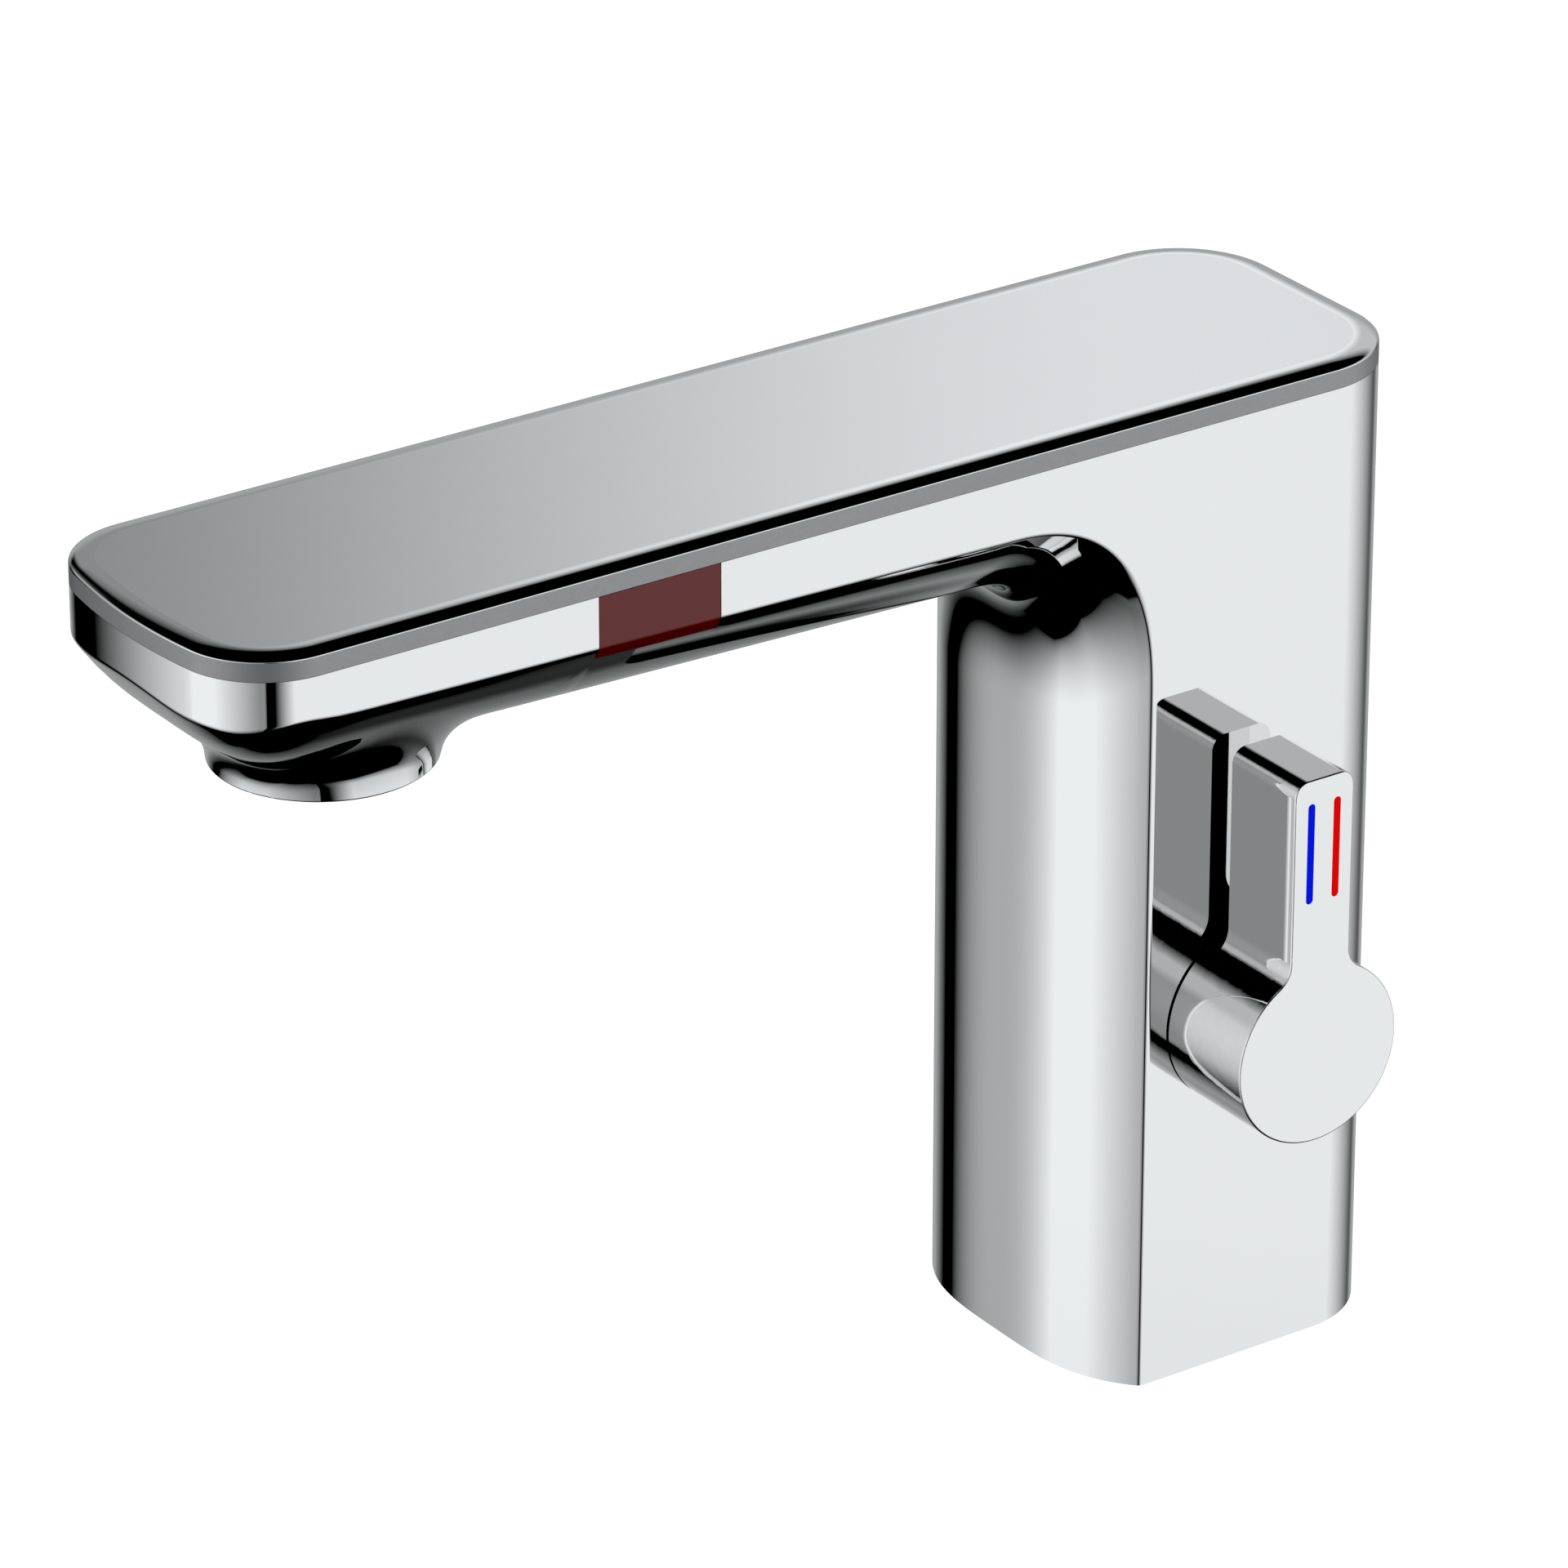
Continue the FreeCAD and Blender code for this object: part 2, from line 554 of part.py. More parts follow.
def body_shell(cavity):
    """One hollow casting: column, spout and nozzle."""
    outer = tap_space(0, 0, BODY_TOP)
    nozzle = upright(NOZZLE_RADIUS, 0, NOZZLE_Y, NOZZLE_Z, UNDERSIDE_Z + NOZZLE_ROOT)
    outer = outer.fuse(nozzle)
    outer = outer.makeFillet(NOZZLE_FLARE, nozzle_edges(outer))
    shell = outer.cut(cavity)

    inside = [upright(BOSS_WALL, 0, NOZZLE_Y, UNDERSIDE_Z + BITE, BOSS_TOP)] + ledges() + clip_catches()
    for x, y in boss_places():
        wall_x = math.copysign(INNER_HALF + BITE, x)
        web = sided_box(x, wall_x, y - BOSS_RADIUS, y + BOSS_RADIUS, PLATE_TOP, PLATE_TOP + BOSS_HEIGHT)
        inside += [web, upright(BOSS_RADIUS, x, y, PLATE_TOP, PLATE_TOP + BOSS_HEIGHT)]
    inside.append(across(CARTRIDGE_BORE + COLLAR_WALL, BLOCK_FACE, INNER_HALF + BITE))
    shell = shell.fuse([piece.common(outer) for piece in inside])

    holes = [
        upright(AERATOR_RADIUS + SLIP, 0, NOZZLE_Y, NOZZLE_Z - PAST, BOSS_TOP + PAST),
        upright(BOSS_WALL + SLIP, 0, NOZZLE_Y, BOSS_TOP, BODY_TOP),
        across(CARTRIDGE_BORE, BLOCK_FACE - PAST, HALF_WIDTH + PAST),
        window_block(SLIP),
    ]
    holes += [upright(M4_RADIUS, x, y, 0, PLATE_TOP + BOSS_HEIGHT - BOSS_CAP) for x, y in boss_places()]
    holes += [upright(M2_RADIUS, x, y, TRAY_Z - TRAY_SCREW_DEPTH - BITE, TRAY_Z + PAST)
              for x, y in tray_screw_places()]
    return shell.cut(holes).removeSplitter()


def sensor_window(outer_space):
    """Dark red lens, flush with the side and wrapped round its lower edge."""
    return outer_space.common(window_block(0))


# ---- cover -------------------------------------------------------------------------------------
def top_cover():
    """Flat cover with an upright rim and a soft bevel all round."""
    rim_top = SEAM_Z + COVER_RIM
    rim = Part.Face(plan_outline(0, SEAM_Z)).extrude(Vector(0, 0, COVER_RIM))
    turns = [math.pi / 2 * k / 4 for k in range(5)]
    wires = [plan_outline(COVER_BEVEL * (1 - math.cos(turn)), rim_top + COVER_RISE * math.sin(turn))
             for turn in turns]
    bevel = Part.makeLoft(wires, True, False)
    hollow_top = COVER_TOP - COVER_SKIN
    hollow = Part.Face(plan_outline(COVER_WALL, SEAM_Z - PAST)).extrude(
        Vector(0, 0, hollow_top - SEAM_Z + PAST))
    return rim.fuse(bevel).removeSplitter().cut(hollow)


def cover_gasket():
    outer = Part.Face(plan_outline(GASKET_INSET, BODY_TOP)).extrude(Vector(0, 0, GASKET))
    opening = plan_outline(GASKET_INSET + GASKET_WIDTH, BODY_TOP - PAST)
    return outer.cut(Part.Face(opening).extrude(Vector(0, 0, GASKET + 2 * PAST)))


def cover_clips():
    """Four hooks under the cover that snap below the catches of the casting."""
    top = COVER_TOP - COVER_SKIN
    hook_top = CATCH_Z - SLIP
    foot = hook_top - CLIP_FOOT
    leg_out = INNER_HALF - CLIP_GAP
    leg_in = leg_out - CLIP_LEG
    tip = INNER_HALF - HEAD_CLEAR
    clips = []
    for y in CLIP_YS:
        low, high = y - CLIP_LENGTH / 2, y + CLIP_LENGTH / 2
        for side in (-1, 1):
            leg = sided_box(side * leg_in, side * leg_out, low, high, foot, top)
            hook = sided_box(side * leg_in, side * tip, low, high, foot, hook_top)
            clips.append(leg.fuse(hook).removeSplitter())
    return group(clips)


# ---- water outlet ------------------------------------------------------------------------------
def aerator_housing():
    """Threaded ring with an inner lip that carries the insert."""
    top = AERATOR_Z + AERATOR_HEIGHT
    ring = upright_tube(AERATOR_RADIUS, AERATOR_RADIUS - AERATOR_WALL, 0, NOZZLE_Y, AERATOR_Z, top)
    lip = upright_tube(AERATOR_RADIUS - AERATOR_WALL / 2, AERATOR_RADIUS - AERATOR_WALL - AERATOR_LIP, 0,
                       NOZZLE_Y, AERATOR_Z, INSERT_Z)
    return ring.fuse(lip).removeSplitter()


def honeycomb(radius, hole, pitch, thickness, z):
    """Round plate with rings of holes."""
    plate = upright(radius, 0, NOZZLE_Y, z, z + thickness)
    holes = [upright(hole, 0, NOZZLE_Y, z - PAST, z + thickness + PAST)]
    rings = int((radius - hole - HOLE_MARGIN) / pitch)
    for ring in range(1, rings + 1):
        for k in range(6 * ring):
            turn = math.pi * k / (3 * ring)
            x, y = ring * pitch * math.cos(turn), NOZZLE_Y + ring * pitch * math.sin(turn)
            holes.append(upright(hole, x, y, z - PAST, z + thickness + PAST))
    return plate.cut(holes)


INSERT_Z = AERATOR_Z + AERATOR_LIP
INSERT_RADIUS = AERATOR_RADIUS - AERATOR_WALL - SLIP


def aerator_insert():
    return honeycomb(INSERT_RADIUS, INSERT_HOLE, INSERT_PITCH, INSERT_HEIGHT, INSERT_Z)


def aerator_screen():
    z = INSERT_Z + INSERT_HEIGHT
    return honeycomb(INSERT_RADIUS, SCREEN_HOLE, SCREEN_PITCH, SCREEN_THICKNESS, z)


def aerator_washer():
    bottom = AERATOR_Z + AERATOR_HEIGHT
    return upright_tube(AERATOR_RADIUS - SLIP, WATER_RADIUS * 2 + WASHER_STEP, 0, NOZZLE_Y, bottom, BOSS_TOP)


def outlet_elbow():
    """Waterway over the nozzle, from the spout tube down to the aerator."""
    end_y = NOZZLE_Y + SOCKET_END
    flange = upright(BOSS_WALL - SLIP, 0, NOZZLE_Y, BOSS_TOP, BOSS_TOP + ELBOW_FLANGE)
    dome = upright(ELBOW_SOCKET + DOME_WALL, 0, NOZZLE_Y, BOSS_TOP, TUBE_Z + WATER_RADIUS + SOCKET_WALL)
    arm = rod(ELBOW_SOCKET, Vector(0, NOZZLE_Y, TUBE_Z), Vector(0, end_y, TUBE_Z))
    solid = join([flange, dome, arm])
    drop = upright(WATER_RADIUS * 2, 0, NOZZLE_Y, BOSS_TOP - PAST, TUBE_Z)
    water = rod(WATER_RADIUS, Vector(0, NOZZLE_Y, TUBE_Z), Vector(0, end_y + PAST, TUBE_Z))
    socket = rod(WATER_RADIUS + TUBE_WALL + SLIP, Vector(0, end_y - SOCKET_DEPTH, TUBE_Z),
                 Vector(0, end_y + PAST, TUBE_Z))
    return solid.cut([drop, water, socket])


def spout_tube():
    """Tube from the valve up the column and along the spout, with two bends."""
    corner = Vector(OUTLET_X, LEVER_Y, TUBE_Z)
    middle = Vector(0, ARCH_END - TUBE_TURN, TUBE_Z)
    start = Vector(OUTLET_X, LEVER_Y, SOCKET_FLOOR + SLIP)
    end = Vector(0, NOZZLE_Y + SOCKET_END - SOCKET_DEPTH + SLIP, TUBE_Z)
    path = bent_path([start, corner, middle, end], [TUBE_BEND, 3 * TUBE_BEND])
    outer = Part.Wire(Part.makeCircle(WATER_RADIUS + TUBE_WALL, start, ALONG_Z))
    inner = Part.Wire(Part.makeCircle(WATER_RADIUS, start, ALONG_Z))
    return path.makePipeShell([outer], True, False).cut(path.makePipeShell([inner], True, False))


def bent_path(points, radii):
    """Straight runs through the points with a tangent arc of the given radius at each bend."""
    edges = []
    last = points[0]
    for before, bend, after, radius in zip(points, points[1:], points[2:], radii):
        back = (before - bend).normalize()
        ahead = (after - bend).normalize()
        half_turn = (math.pi - back.getAngle(ahead)) / 2
        trim = radius * math.tan(half_turn)
        start, end = bend + back * trim, bend + ahead * trim
        inward = (back + ahead).normalize()
        middle = bend + inward * (radius / math.cos(half_turn) - radius)
        edges += [Part.makeLine(last, start), Part.Arc(start, middle, end).toShape()]
        last = end
    edges.append(Part.makeLine(last, points[-1]))
    return Part.Wire(edges)


# ---- handle ------------------------------------------------------------------------------------
def handle_outline(x):
    """Disc with the lever rising from it, joined by two round roots, in the plane of one x."""
    half = LEVER_WIDTH / 2
    reach = HUB_RADIUS + LEVER_ROOT
    root_y = half + LEVER_ROOT
    root_z = math.sqrt(reach ** 2 - root_y ** 2)
    lean = math.atan2(root_z, root_y)
    corner_y, corner_z = half - LEVER_CORNER, LEVER_TOP - LEVER_CORNER
    quarter = math.pi / 2
    arcs = [
        arc(0, 0, HUB_RADIUS, math.pi - lean, 2 * math.pi + lean, 0),
        arc(root_y, root_z, LEVER_ROOT, math.pi + lean, math.pi, 0),
        arc(corner_y, corner_z, LEVER_CORNER, 0, quarter, 0),
        arc(-corner_y, corner_z, LEVER_CORNER, quarter, 2 * quarter, 0),
        arc(-root_y, root_z, LEVER_ROOT, 0, -lean, 0),
    ]
    wire = ring_of_arcs(arcs)
    upright_in_yz = FreeCAD.Matrix(0, 0, 1, x, 1, 0, 0, LEVER_Y, 0, 1, 0, LEVER_Z, 0, 0, 0, 1)
    return wire.transformGeometry(upright_in_yz)


def mark_places():
    """Sideways place of the cold mark (towards the spout) and the hot mark."""
    return {"cold_mark": -MARK_SPACING / 2, "hot_mark": MARK_SPACING / 2}


def mark_slot(offset, end_x):
    """Bar with round ends in the lever's front, from the floor of its slot to end_x."""
    radius = MARK_WIDTH / 2
    floor_x = FRONT_X - MARK_DEPTH
    y = LEVER_Y + offset
    high = LEVER_Z + MARK_TOP - radius
    low = high - MARK_LENGTH + MARK_WIDTH
    ends = [across(radius, floor_x, end_x, y, z) for z in (low, high)]
    return join([box(floor_x, end_x, y - radius, y + radius, low, high)] + ends)


HUB_START = HALF_WIDTH + HUB_GAP
STEM_END = FRONT_X - STEM_COVER
GRUB_X = FRONT_X - GRUB_SETBACK


def handle():
    """Hub and lever in one casting, hollow behind, with a bore for the stem."""
    plate = Part.Face(handle_outline(HALF_WIDTH + LEVER_STANDOFF)).extrude(
        Vector(HANDLE_REACH - LEVER_STANDOFF, 0, 0))
    hub = across(HUB_RADIUS, HUB_START, FRONT_X - PAST)
    solid = plate.fuse(hub).removeSplitter()
    front = [edge for edge in solid.Edges
             if abs(edge.BoundBox.XMin - FRONT_X) < 1e-6 and edge.BoundBox.XLength < 1e-6]
    solid = solid.makeFillet(HANDLE_EDGE, front)
    hollow = across(HUB_RADIUS - HUB_WALL, HUB_START - PAST, GRUB_X - GRUB_RADIUS - HUB_WALL)
    bore = across(STEM_RADIUS + RUN, HUB_START - PAST, STEM_END + HUB_GAP)
    grub_hole = upright(GRUB_RADIUS, GRUB_X, LEVER_Y, LEVER_Z - HUB_RADIUS - PAST, LEVER_Z)
    cuts = [hollow, bore, grub_hole]
    cuts += [mark_slot(offset, FRONT_X + PAST) for offset in mark_places().values()]
    return solid.cut(cuts)


def handle_grub_screw():
    """Socket set screw that holds the handle on the stem, from below."""
    top = LEVER_Z - STEM_RADIUS - RUN
    foot = top - GRUB_LENGTH
    body = upright(GRUB_RADIUS - RUN, GRUB_X, LEVER_Y, foot, top)
    return body.cut(hexagon(GRUB_RADIUS, GRUB_X, LEVER_Y, foot - PAST, foot + GRUB_SOCKET))


# ---- cartridge ---------------------------------------------------------------------------------
SEAL_END = CARTRIDGE_END + SEAL_THICKNESS
FIXED_END = SEAL_END + DISC_THICKNESS
TURNING_START = FIXED_END + RUN
TURNING_END = TURNING_START + DISC_THICKNESS
CARRIER_START = TURNING_END + RUN
CARRIER_END = CARRIER_START + CARRIER_LENGTH
DISC_RADIUS = CARTRIDGE_RADIUS - CARTRIDGE_WALL - SLIP
BODY_END = CARTRIDGE_END + CARTRIDGE_LENGTH
NECK_END = BODY_END + NECK_LENGTH
STEM_SEAL_X = BODY_END + STEM_SEAL_SETBACK


def port_places():
    """Hot, cold and mixed-water ports on the cartridge's end, as (y, z)."""
    return {"cold": (LEVER_Y - PORT_SPACING, LEVER_Z), "hot": (LEVER_Y + PORT_SPACING, LEVER_Z),
            "mixed": (LEVER_Y, LEVER_Z + PORT_RISE)}


def ported(solid, x0, x1):
    return solid.cut([across(PORT_RADIUS, x0 - PAST, x1 + PAST, y, z) for y, z in port_places().values()])


def cartridge_body():
    """Cup that holds the ceramic discs, with a neck round the stem."""
    cup = across(CARTRIDGE_RADIUS, SEAL_END, BODY_END).fuse(across(NECK_RADIUS, BODY_END, NECK_END))
    pocket = across(CARTRIDGE_RADIUS - CARTRIDGE_WALL, SEAL_END - PAST, CARRIER_END + RUN)
    bore = across(STEM_RADIUS + RUN, SEAL_END, NECK_END + PAST)
    groove_half = STEM_SEAL_DEPTH / 2 + RUN
    groove = across(STEM_RADIUS + RUN + STEM_SEAL_DEPTH, STEM_SEAL_X - groove_half,
                    STEM_SEAL_X + groove_half)
    return cup.cut([pocket, bore, groove])


def cartridge_stem():
    """Carrier that drives the upper disc, and the stem out to the handle."""
    carrier = across(DISC_RADIUS, CARRIER_START, CARRIER_END)
    stem = across(STEM_RADIUS, CARRIER_START, STEM_END)
    return carrier.fuse(stem).removeSplitter()


def moving_ceramic_disc():
    """Upper disc with one wide passage that joins the ports under it."""
    disc = across(DISC_RADIUS, TURNING_START, TURNING_END)
    y, z = port_places()["mixed"]
    passage = join([across(PORT_RADIUS, TURNING_START - PAST, TURNING_END - PASSAGE_ROOF, y, z),
                    across(PORT_SPACING, TURNING_START - PAST, TURNING_END - PASSAGE_ROOF)])
    return disc.cut(passage)


def fixed_ceramic_disc():
    return ported(across(DISC_RADIUS, SEAL_END, FIXED_END), SEAL_END, FIXED_END)


def cartridge_seal():
    return ported(across(CARTRIDGE_RADIUS, CARTRIDGE_END, SEAL_END), CARTRIDGE_END, SEAL_END)


def stem_o_ring():
    centre = Vector(STEM_SEAL_X, LEVER_Y, LEVER_Z)
    inner = STEM_RADIUS + RUN
    return o_ring(centre, ALONG_X, inner, inner + STEM_SEAL_DEPTH)


def cartridge_nut():
    """Ring nut that presses the cartridge home, with four spanner slots."""
    start, end = BODY_END + RUN, BODY_END + RUN + NUT_LENGTH
    ring = across(CARTRIDGE_RADIUS, start, end).cut(across(NECK_RADIUS + SLIP, start - PAST, end + PAST))
    slots = []
    for turn in (0, math.pi / 2):
        slot = box(end - NUT_SLOT_DEPTH, end + PAST, -CARTRIDGE_BORE, CARTRIDGE_BORE,
                   -NUT_SLOT / 2, NUT_SLOT / 2)
        slot.rotate(Vector(0, 0, 0), ALONG_X, math.degrees(turn))
        slot.translate(Vector(0, LEVER_Y, LEVER_Z))
        slots.append(slot)
    return ring.cut(slots)


# ---- waterway block ----------------------------------------------------------------------------
def inlet_places():
    """Hot inlet on the left of a person facing the spout's end, and cold inlet on the right."""
    return {"hot": -INLET_X, "cold": INLET_X}


def manifold_screw_places():
    edge = VALVE_INSET + SCREW_EDGE
    rows = (BLOCK_FRONT + edge, BLOCK_BACK - edge)
    return [(side * (VALVE_HALF - SCREW_SIDE), y) for side in (-1, 1) for y in rows]


def upright_corners(shape, height):
    """Vertical edges of a block."""
    return [edge for edge in shape.Edges if abs(edge.BoundBox.ZLength - height) < 1e-6]


GALLERY_Z = BLOCK_BOTTOM + SPIGOT + GALLERY_RADIUS + GALLERY_COVER
CHECK_Z = INLET_MOUTH + INLET_THREAD_LENGTH + CHECK_SHELF


def waterway_block():
    """Brass block with the cartridge chamber and the drilled galleries."""
    block = box(-BLOCK_HALF, BLOCK_FACE, BLOCK_FRONT, BLOCK_BACK, BLOCK_BOTTOM, BLOCK_TOP)
    block = block.makeFillet(BLOCK_CORNER, upright_corners(block, BLOCK_TOP - BLOCK_BOTTOM))
    cuts = [across(CARTRIDGE_BORE, CARTRIDGE_END, BLOCK_FACE + PAST)]
    for name, x in inlet_places().items():
        y, z = port_places()[name]
        foot = Vector(x, LEVER_Y, GALLERY_Z)
        heel = Vector(GALLERY_X, y, GALLERY_Z)
        cuts.append(upright(INLET_RADIUS + SLIP, x, LEVER_Y, BLOCK_BOTTOM - PAST, BLOCK_BOTTOM + SPIGOT))
        cuts.append(rod(GALLERY_RADIUS, Vector(x, LEVER_Y, BLOCK_BOTTOM), foot))
        cuts.append(rod(GALLERY_RADIUS, foot, heel))
        cuts.append(rod(GALLERY_RADIUS, heel, Vector(GALLERY_X, y, z)))
        cuts.append(across(PORT_RADIUS, GALLERY_X, CARTRIDGE_END + PAST, y, z))
    y, z = port_places()["mixed"]
    cuts.append(across(PORT_RADIUS, GALLERY_X, CARTRIDGE_END + PAST, y, z))
    cuts.append(upright(GALLERY_RADIUS, GALLERY_X, y, z, BLOCK_TOP + PAST))
    thread_end = BLOCK_TOP - MANIFOLD_THREAD
    cuts += [upright(M3_RADIUS, x, y, thread_end, BLOCK_TOP + PAST) for x, y in manifold_screw_places()]
    return block.cut(cuts)


INLET_GROOVE_Z = BLOCK_BOTTOM + SPIGOT / 2


def inlet_nipple(x):
    """Brass inlet: hose thread below, hexagon in the middle, spigot with a groove on top."""
    top = BLOCK_BOTTOM + SPIGOT
    thread_end = INLET_MOUTH + INLET_THREAD_LENGTH
    body = upright(INLET_RADIUS, x, LEVER_Y, INLET_MOUTH, top)
    nut = hexagon(HEX_FLATS, x, LEVER_Y, BLOCK_BOTTOM - HEX_HEIGHT, BLOCK_BOTTOM)
    groove_half = INLET_GROOVE / 2 + RUN
    groove = upright_tube(INLET_RADIUS + PAST, INLET_RADIUS - INLET_GROOVE, x, LEVER_Y,
                          INLET_GROOVE_Z - groove_half, INLET_GROOVE_Z + groove_half)
    thread = upright(INLET_THREAD, x, LEVER_Y, INLET_MOUTH - PAST, thread_end)
    neck = upright(CHECK_RADIUS - CHECK_SHELF, x, LEVER_Y, INLET_MOUTH, top)
    pocket = upright(CHECK_RADIUS + SLIP, x, LEVER_Y, CHECK_Z, top + PAST)
    return body.fuse(nut).removeSplitter().cut([groove, thread, neck, pocket])


def inlet_o_rings():
    inner, outer = INLET_RADIUS - INLET_GROOVE, INLET_RADIUS + SLIP
    return group([o_ring(Vector(x, LEVER_Y, INLET_GROOVE_Z), ALONG_Z, inner, outer)
                  for x in inlet_places().values()])


CHECK_TOP = CHECK_Z + CHECK_LENGTH
BRIDGE_Z = CHECK_TOP - BRIDGE
POPPET_TOP = BRIDGE_Z + BRIDGE / 2


def check_valve_housing(x):
    """Cup with a seat below and a bridge above that guides the poppet's stem."""
    reach = CHECK_RADIUS - CHECK_WALL / 2
    cup = upright_tube(CHECK_RADIUS, CHECK_RADIUS - CHECK_WALL, x, LEVER_Y, CHECK_Z, CHECK_TOP)
    seat = upright_tube(reach, CHECK_BORE, x, LEVER_Y, CHECK_Z, CHECK_Z + CHECK_SEAT)
    bridge = box(x - reach, x + reach, LEVER_Y - BRIDGE_WIDTH / 2, LEVER_Y + BRIDGE_WIDTH / 2,
                 BRIDGE_Z, CHECK_TOP)
    bridge = bridge.common(upright(reach, x, LEVER_Y, BRIDGE_Z, CHECK_TOP))
    hub = upright(BRIDGE_WIDTH, x, LEVER_Y, BRIDGE_Z, CHECK_TOP)
    guide = upright(POPPET_STEM + RUN, x, LEVER_Y, BRIDGE_Z - PAST, CHECK_TOP + PAST)
    return join([cup, seat, bridge, hub]).cut(guide)


def check_valve_poppet(x):
    seat = CHECK_Z + CHECK_SEAT + RUN
    disc = upright(POPPET_RADIUS, x, LEVER_Y, seat, seat + POPPET_DISC)
    stem = upright(POPPET_STEM, x, LEVER_Y, seat, POPPET_TOP)
    return disc.fuse(stem).removeSplitter()


def check_valve_spring(x):
    disc_top = CHECK_Z + CHECK_SEAT + RUN + POPPET_DISC
    return spring(x, LEVER_Y, disc_top + RUN, BRIDGE_Z - RUN, CHECK_SPRING_RADIUS, CHECK_SPRING_WIRE,
                  SPRING_TURNS)


# ---- solenoid valve ----------------------------------------------------------------------------
GUIDE_RADIUS = PLUNGER_RADIUS + RUN + GUIDE_WALL
FLANGE_RADIUS = CHAMBER_RADIUS + FLANGE_REACH
PLUNGER_FOOT = SEAT_Z + RUN + SEAL_HEIGHT
PLUNGER_HEAD = PLUNGER_FOOT + PLUNGER_LENGTH
CORE_FOOT = PLUNGER_HEAD + PLUNGER_TRAVEL + CORE_GAP
CORE_HEAD = CORE_FOOT + CORE_LENGTH
COIL_BOTTOM = VALVE_TOP + YOKE
COIL_TOP = COIL_BOTTOM + COIL_HEIGHT
SOCKET_FLOOR = VALVE_TOP - SOCKET_DEPTH
OUTLET_GALLERY_Z = BLOCK_TOP + OUTLET_RISE
VALVE_RING_INNER = GALLERY_RADIUS + VALVE_RING_GAP
VALVE_RING_OUTER = VALVE_RING_INNER + VALVE_RING


def valve_slab(z0, z1):
    """Outline of the valve with round corners, between two heights."""
    front, back = BLOCK_FRONT + VALVE_INSET, BLOCK_BACK - VALVE_INSET
    slab = box(-VALVE_HALF, VALVE_HALF, front, back, z0, z1)
    return slab.makeFillet(VALVE_CORNER, upright_corners(slab, z1 - z0))


def manifold_clearances(z0, z1):
    return [upright(M3_RADIUS + SLIP, x, y, z0, z1) for x, y in manifold_screw_places()]


def valve_body():
    """Moulded valve: inlet chamber, raised seat and an outlet up to the spout tube."""
    body = valve_slab(BLOCK_TOP, VALVE_TOP)
    chamber_floor = SEAT_Z - CHAMBER_DEPTH
    chamber = upright(CHAMBER_RADIUS, VALVE_X, LEVER_Y, chamber_floor, VALVE_TOP + PAST)
    chamber = chamber.cut(upright(SEAT_RADIUS, VALVE_X, LEVER_Y, chamber_floor - PAST, SEAT_Z))
    foot = Vector(VALVE_X, LEVER_Y, OUTLET_GALLERY_Z)
    turn = Vector(OUTLET_X, LEVER_Y, OUTLET_GALLERY_Z)
    cuts = [
        chamber,
        upright(FLANGE_RADIUS + SLIP, VALVE_X, LEVER_Y, VALVE_TOP - FLANGE, VALVE_TOP + PAST),
        upright(GALLERY_RADIUS, GALLERY_X, LEVER_Y, BLOCK_TOP - PAST, SEAT_Z),
        rod(GALLERY_RADIUS, foot, Vector(VALVE_X, LEVER_Y, SEAT_Z + PAST)),
        rod(OUTLET_RADIUS, foot, turn),
        rod(WATER_RADIUS, turn, Vector(OUTLET_X, LEVER_Y, VALVE_TOP)),
        upright(WATER_RADIUS + TUBE_WALL + SLIP, OUTLET_X, LEVER_Y, SOCKET_FLOOR, VALVE_TOP + PAST),
        upright_tube(VALVE_RING_OUTER, VALVE_RING_INNER, GALLERY_X, LEVER_Y, BLOCK_TOP - PAST,
                     BLOCK_TOP + VALVE_RING),
    ]
    return body.cut(cuts + manifold_clearances(BLOCK_TOP - PAST, VALVE_TOP + PAST))


def valve_o_ring():
    """Seal between the block and the valve's inlet."""
    centre = Vector(GALLERY_X, LEVER_Y, BLOCK_TOP + VALVE_RING / 2)
    return o_ring(centre, ALONG_Z, VALVE_RING_INNER, VALVE_RING_OUTER)


def manifold_screws():
    """Four screws through the yoke's foot and the valve into the block."""
    length = COIL_BOTTOM - BLOCK_TOP + MANIFOLD_THREAD - SCREW_TIP
    return group([screw(x, y, COIL_BOTTOM, length, M3_RADIUS, M3_HEAD, M3_HEAD_HEIGHT)
                  for x, y in manifold_screw_places()])


def plunger_guide():
    """Thin steel tube with a flange below, closed on top."""
    foot = VALVE_TOP - FLANGE
    flange = upright(FLANGE_RADIUS, VALVE_X, LEVER_Y, foot, VALVE_TOP - RUN)
    outer = upright(GUIDE_RADIUS, VALVE_X, LEVER_Y, foot, CORE_HEAD + GUIDE_CAP)
    bore = upright(PLUNGER_RADIUS + RUN, VALVE_X, LEVER_Y, foot - PAST, CORE_HEAD)
    return flange.fuse(outer).removeSplitter().cut(bore)


def fixed_core():
    return upright(PLUNGER_RADIUS, VALVE_X, LEVER_Y, CORE_FOOT, CORE_HEAD)


def solenoid_plunger():
    body = upright(PLUNGER_RADIUS, VALVE_X, LEVER_Y, PLUNGER_FOOT, PLUNGER_HEAD)
    pocket = upright(SPRING_RADIUS + SPRING_WIRE + SPRING_POCKET_GAP, VALVE_X, LEVER_Y,
                     PLUNGER_HEAD - SPRING_POCKET, PLUNGER_HEAD + PAST)
    return body.cut(pocket)


def plunger_seal():
    """Rubber face that closes the seat."""
    return upright(SEAT_RADIUS + SEAL_MARGIN, VALVE_X, LEVER_Y, SEAT_Z + RUN, PLUNGER_FOOT)


def plunger_spring():
    return spring(VALVE_X, LEVER_Y, PLUNGER_HEAD - SPRING_POCKET + RUN, CORE_FOOT - RUN, SPRING_RADIUS,
                  SPRING_WIRE, SPRING_TURNS)


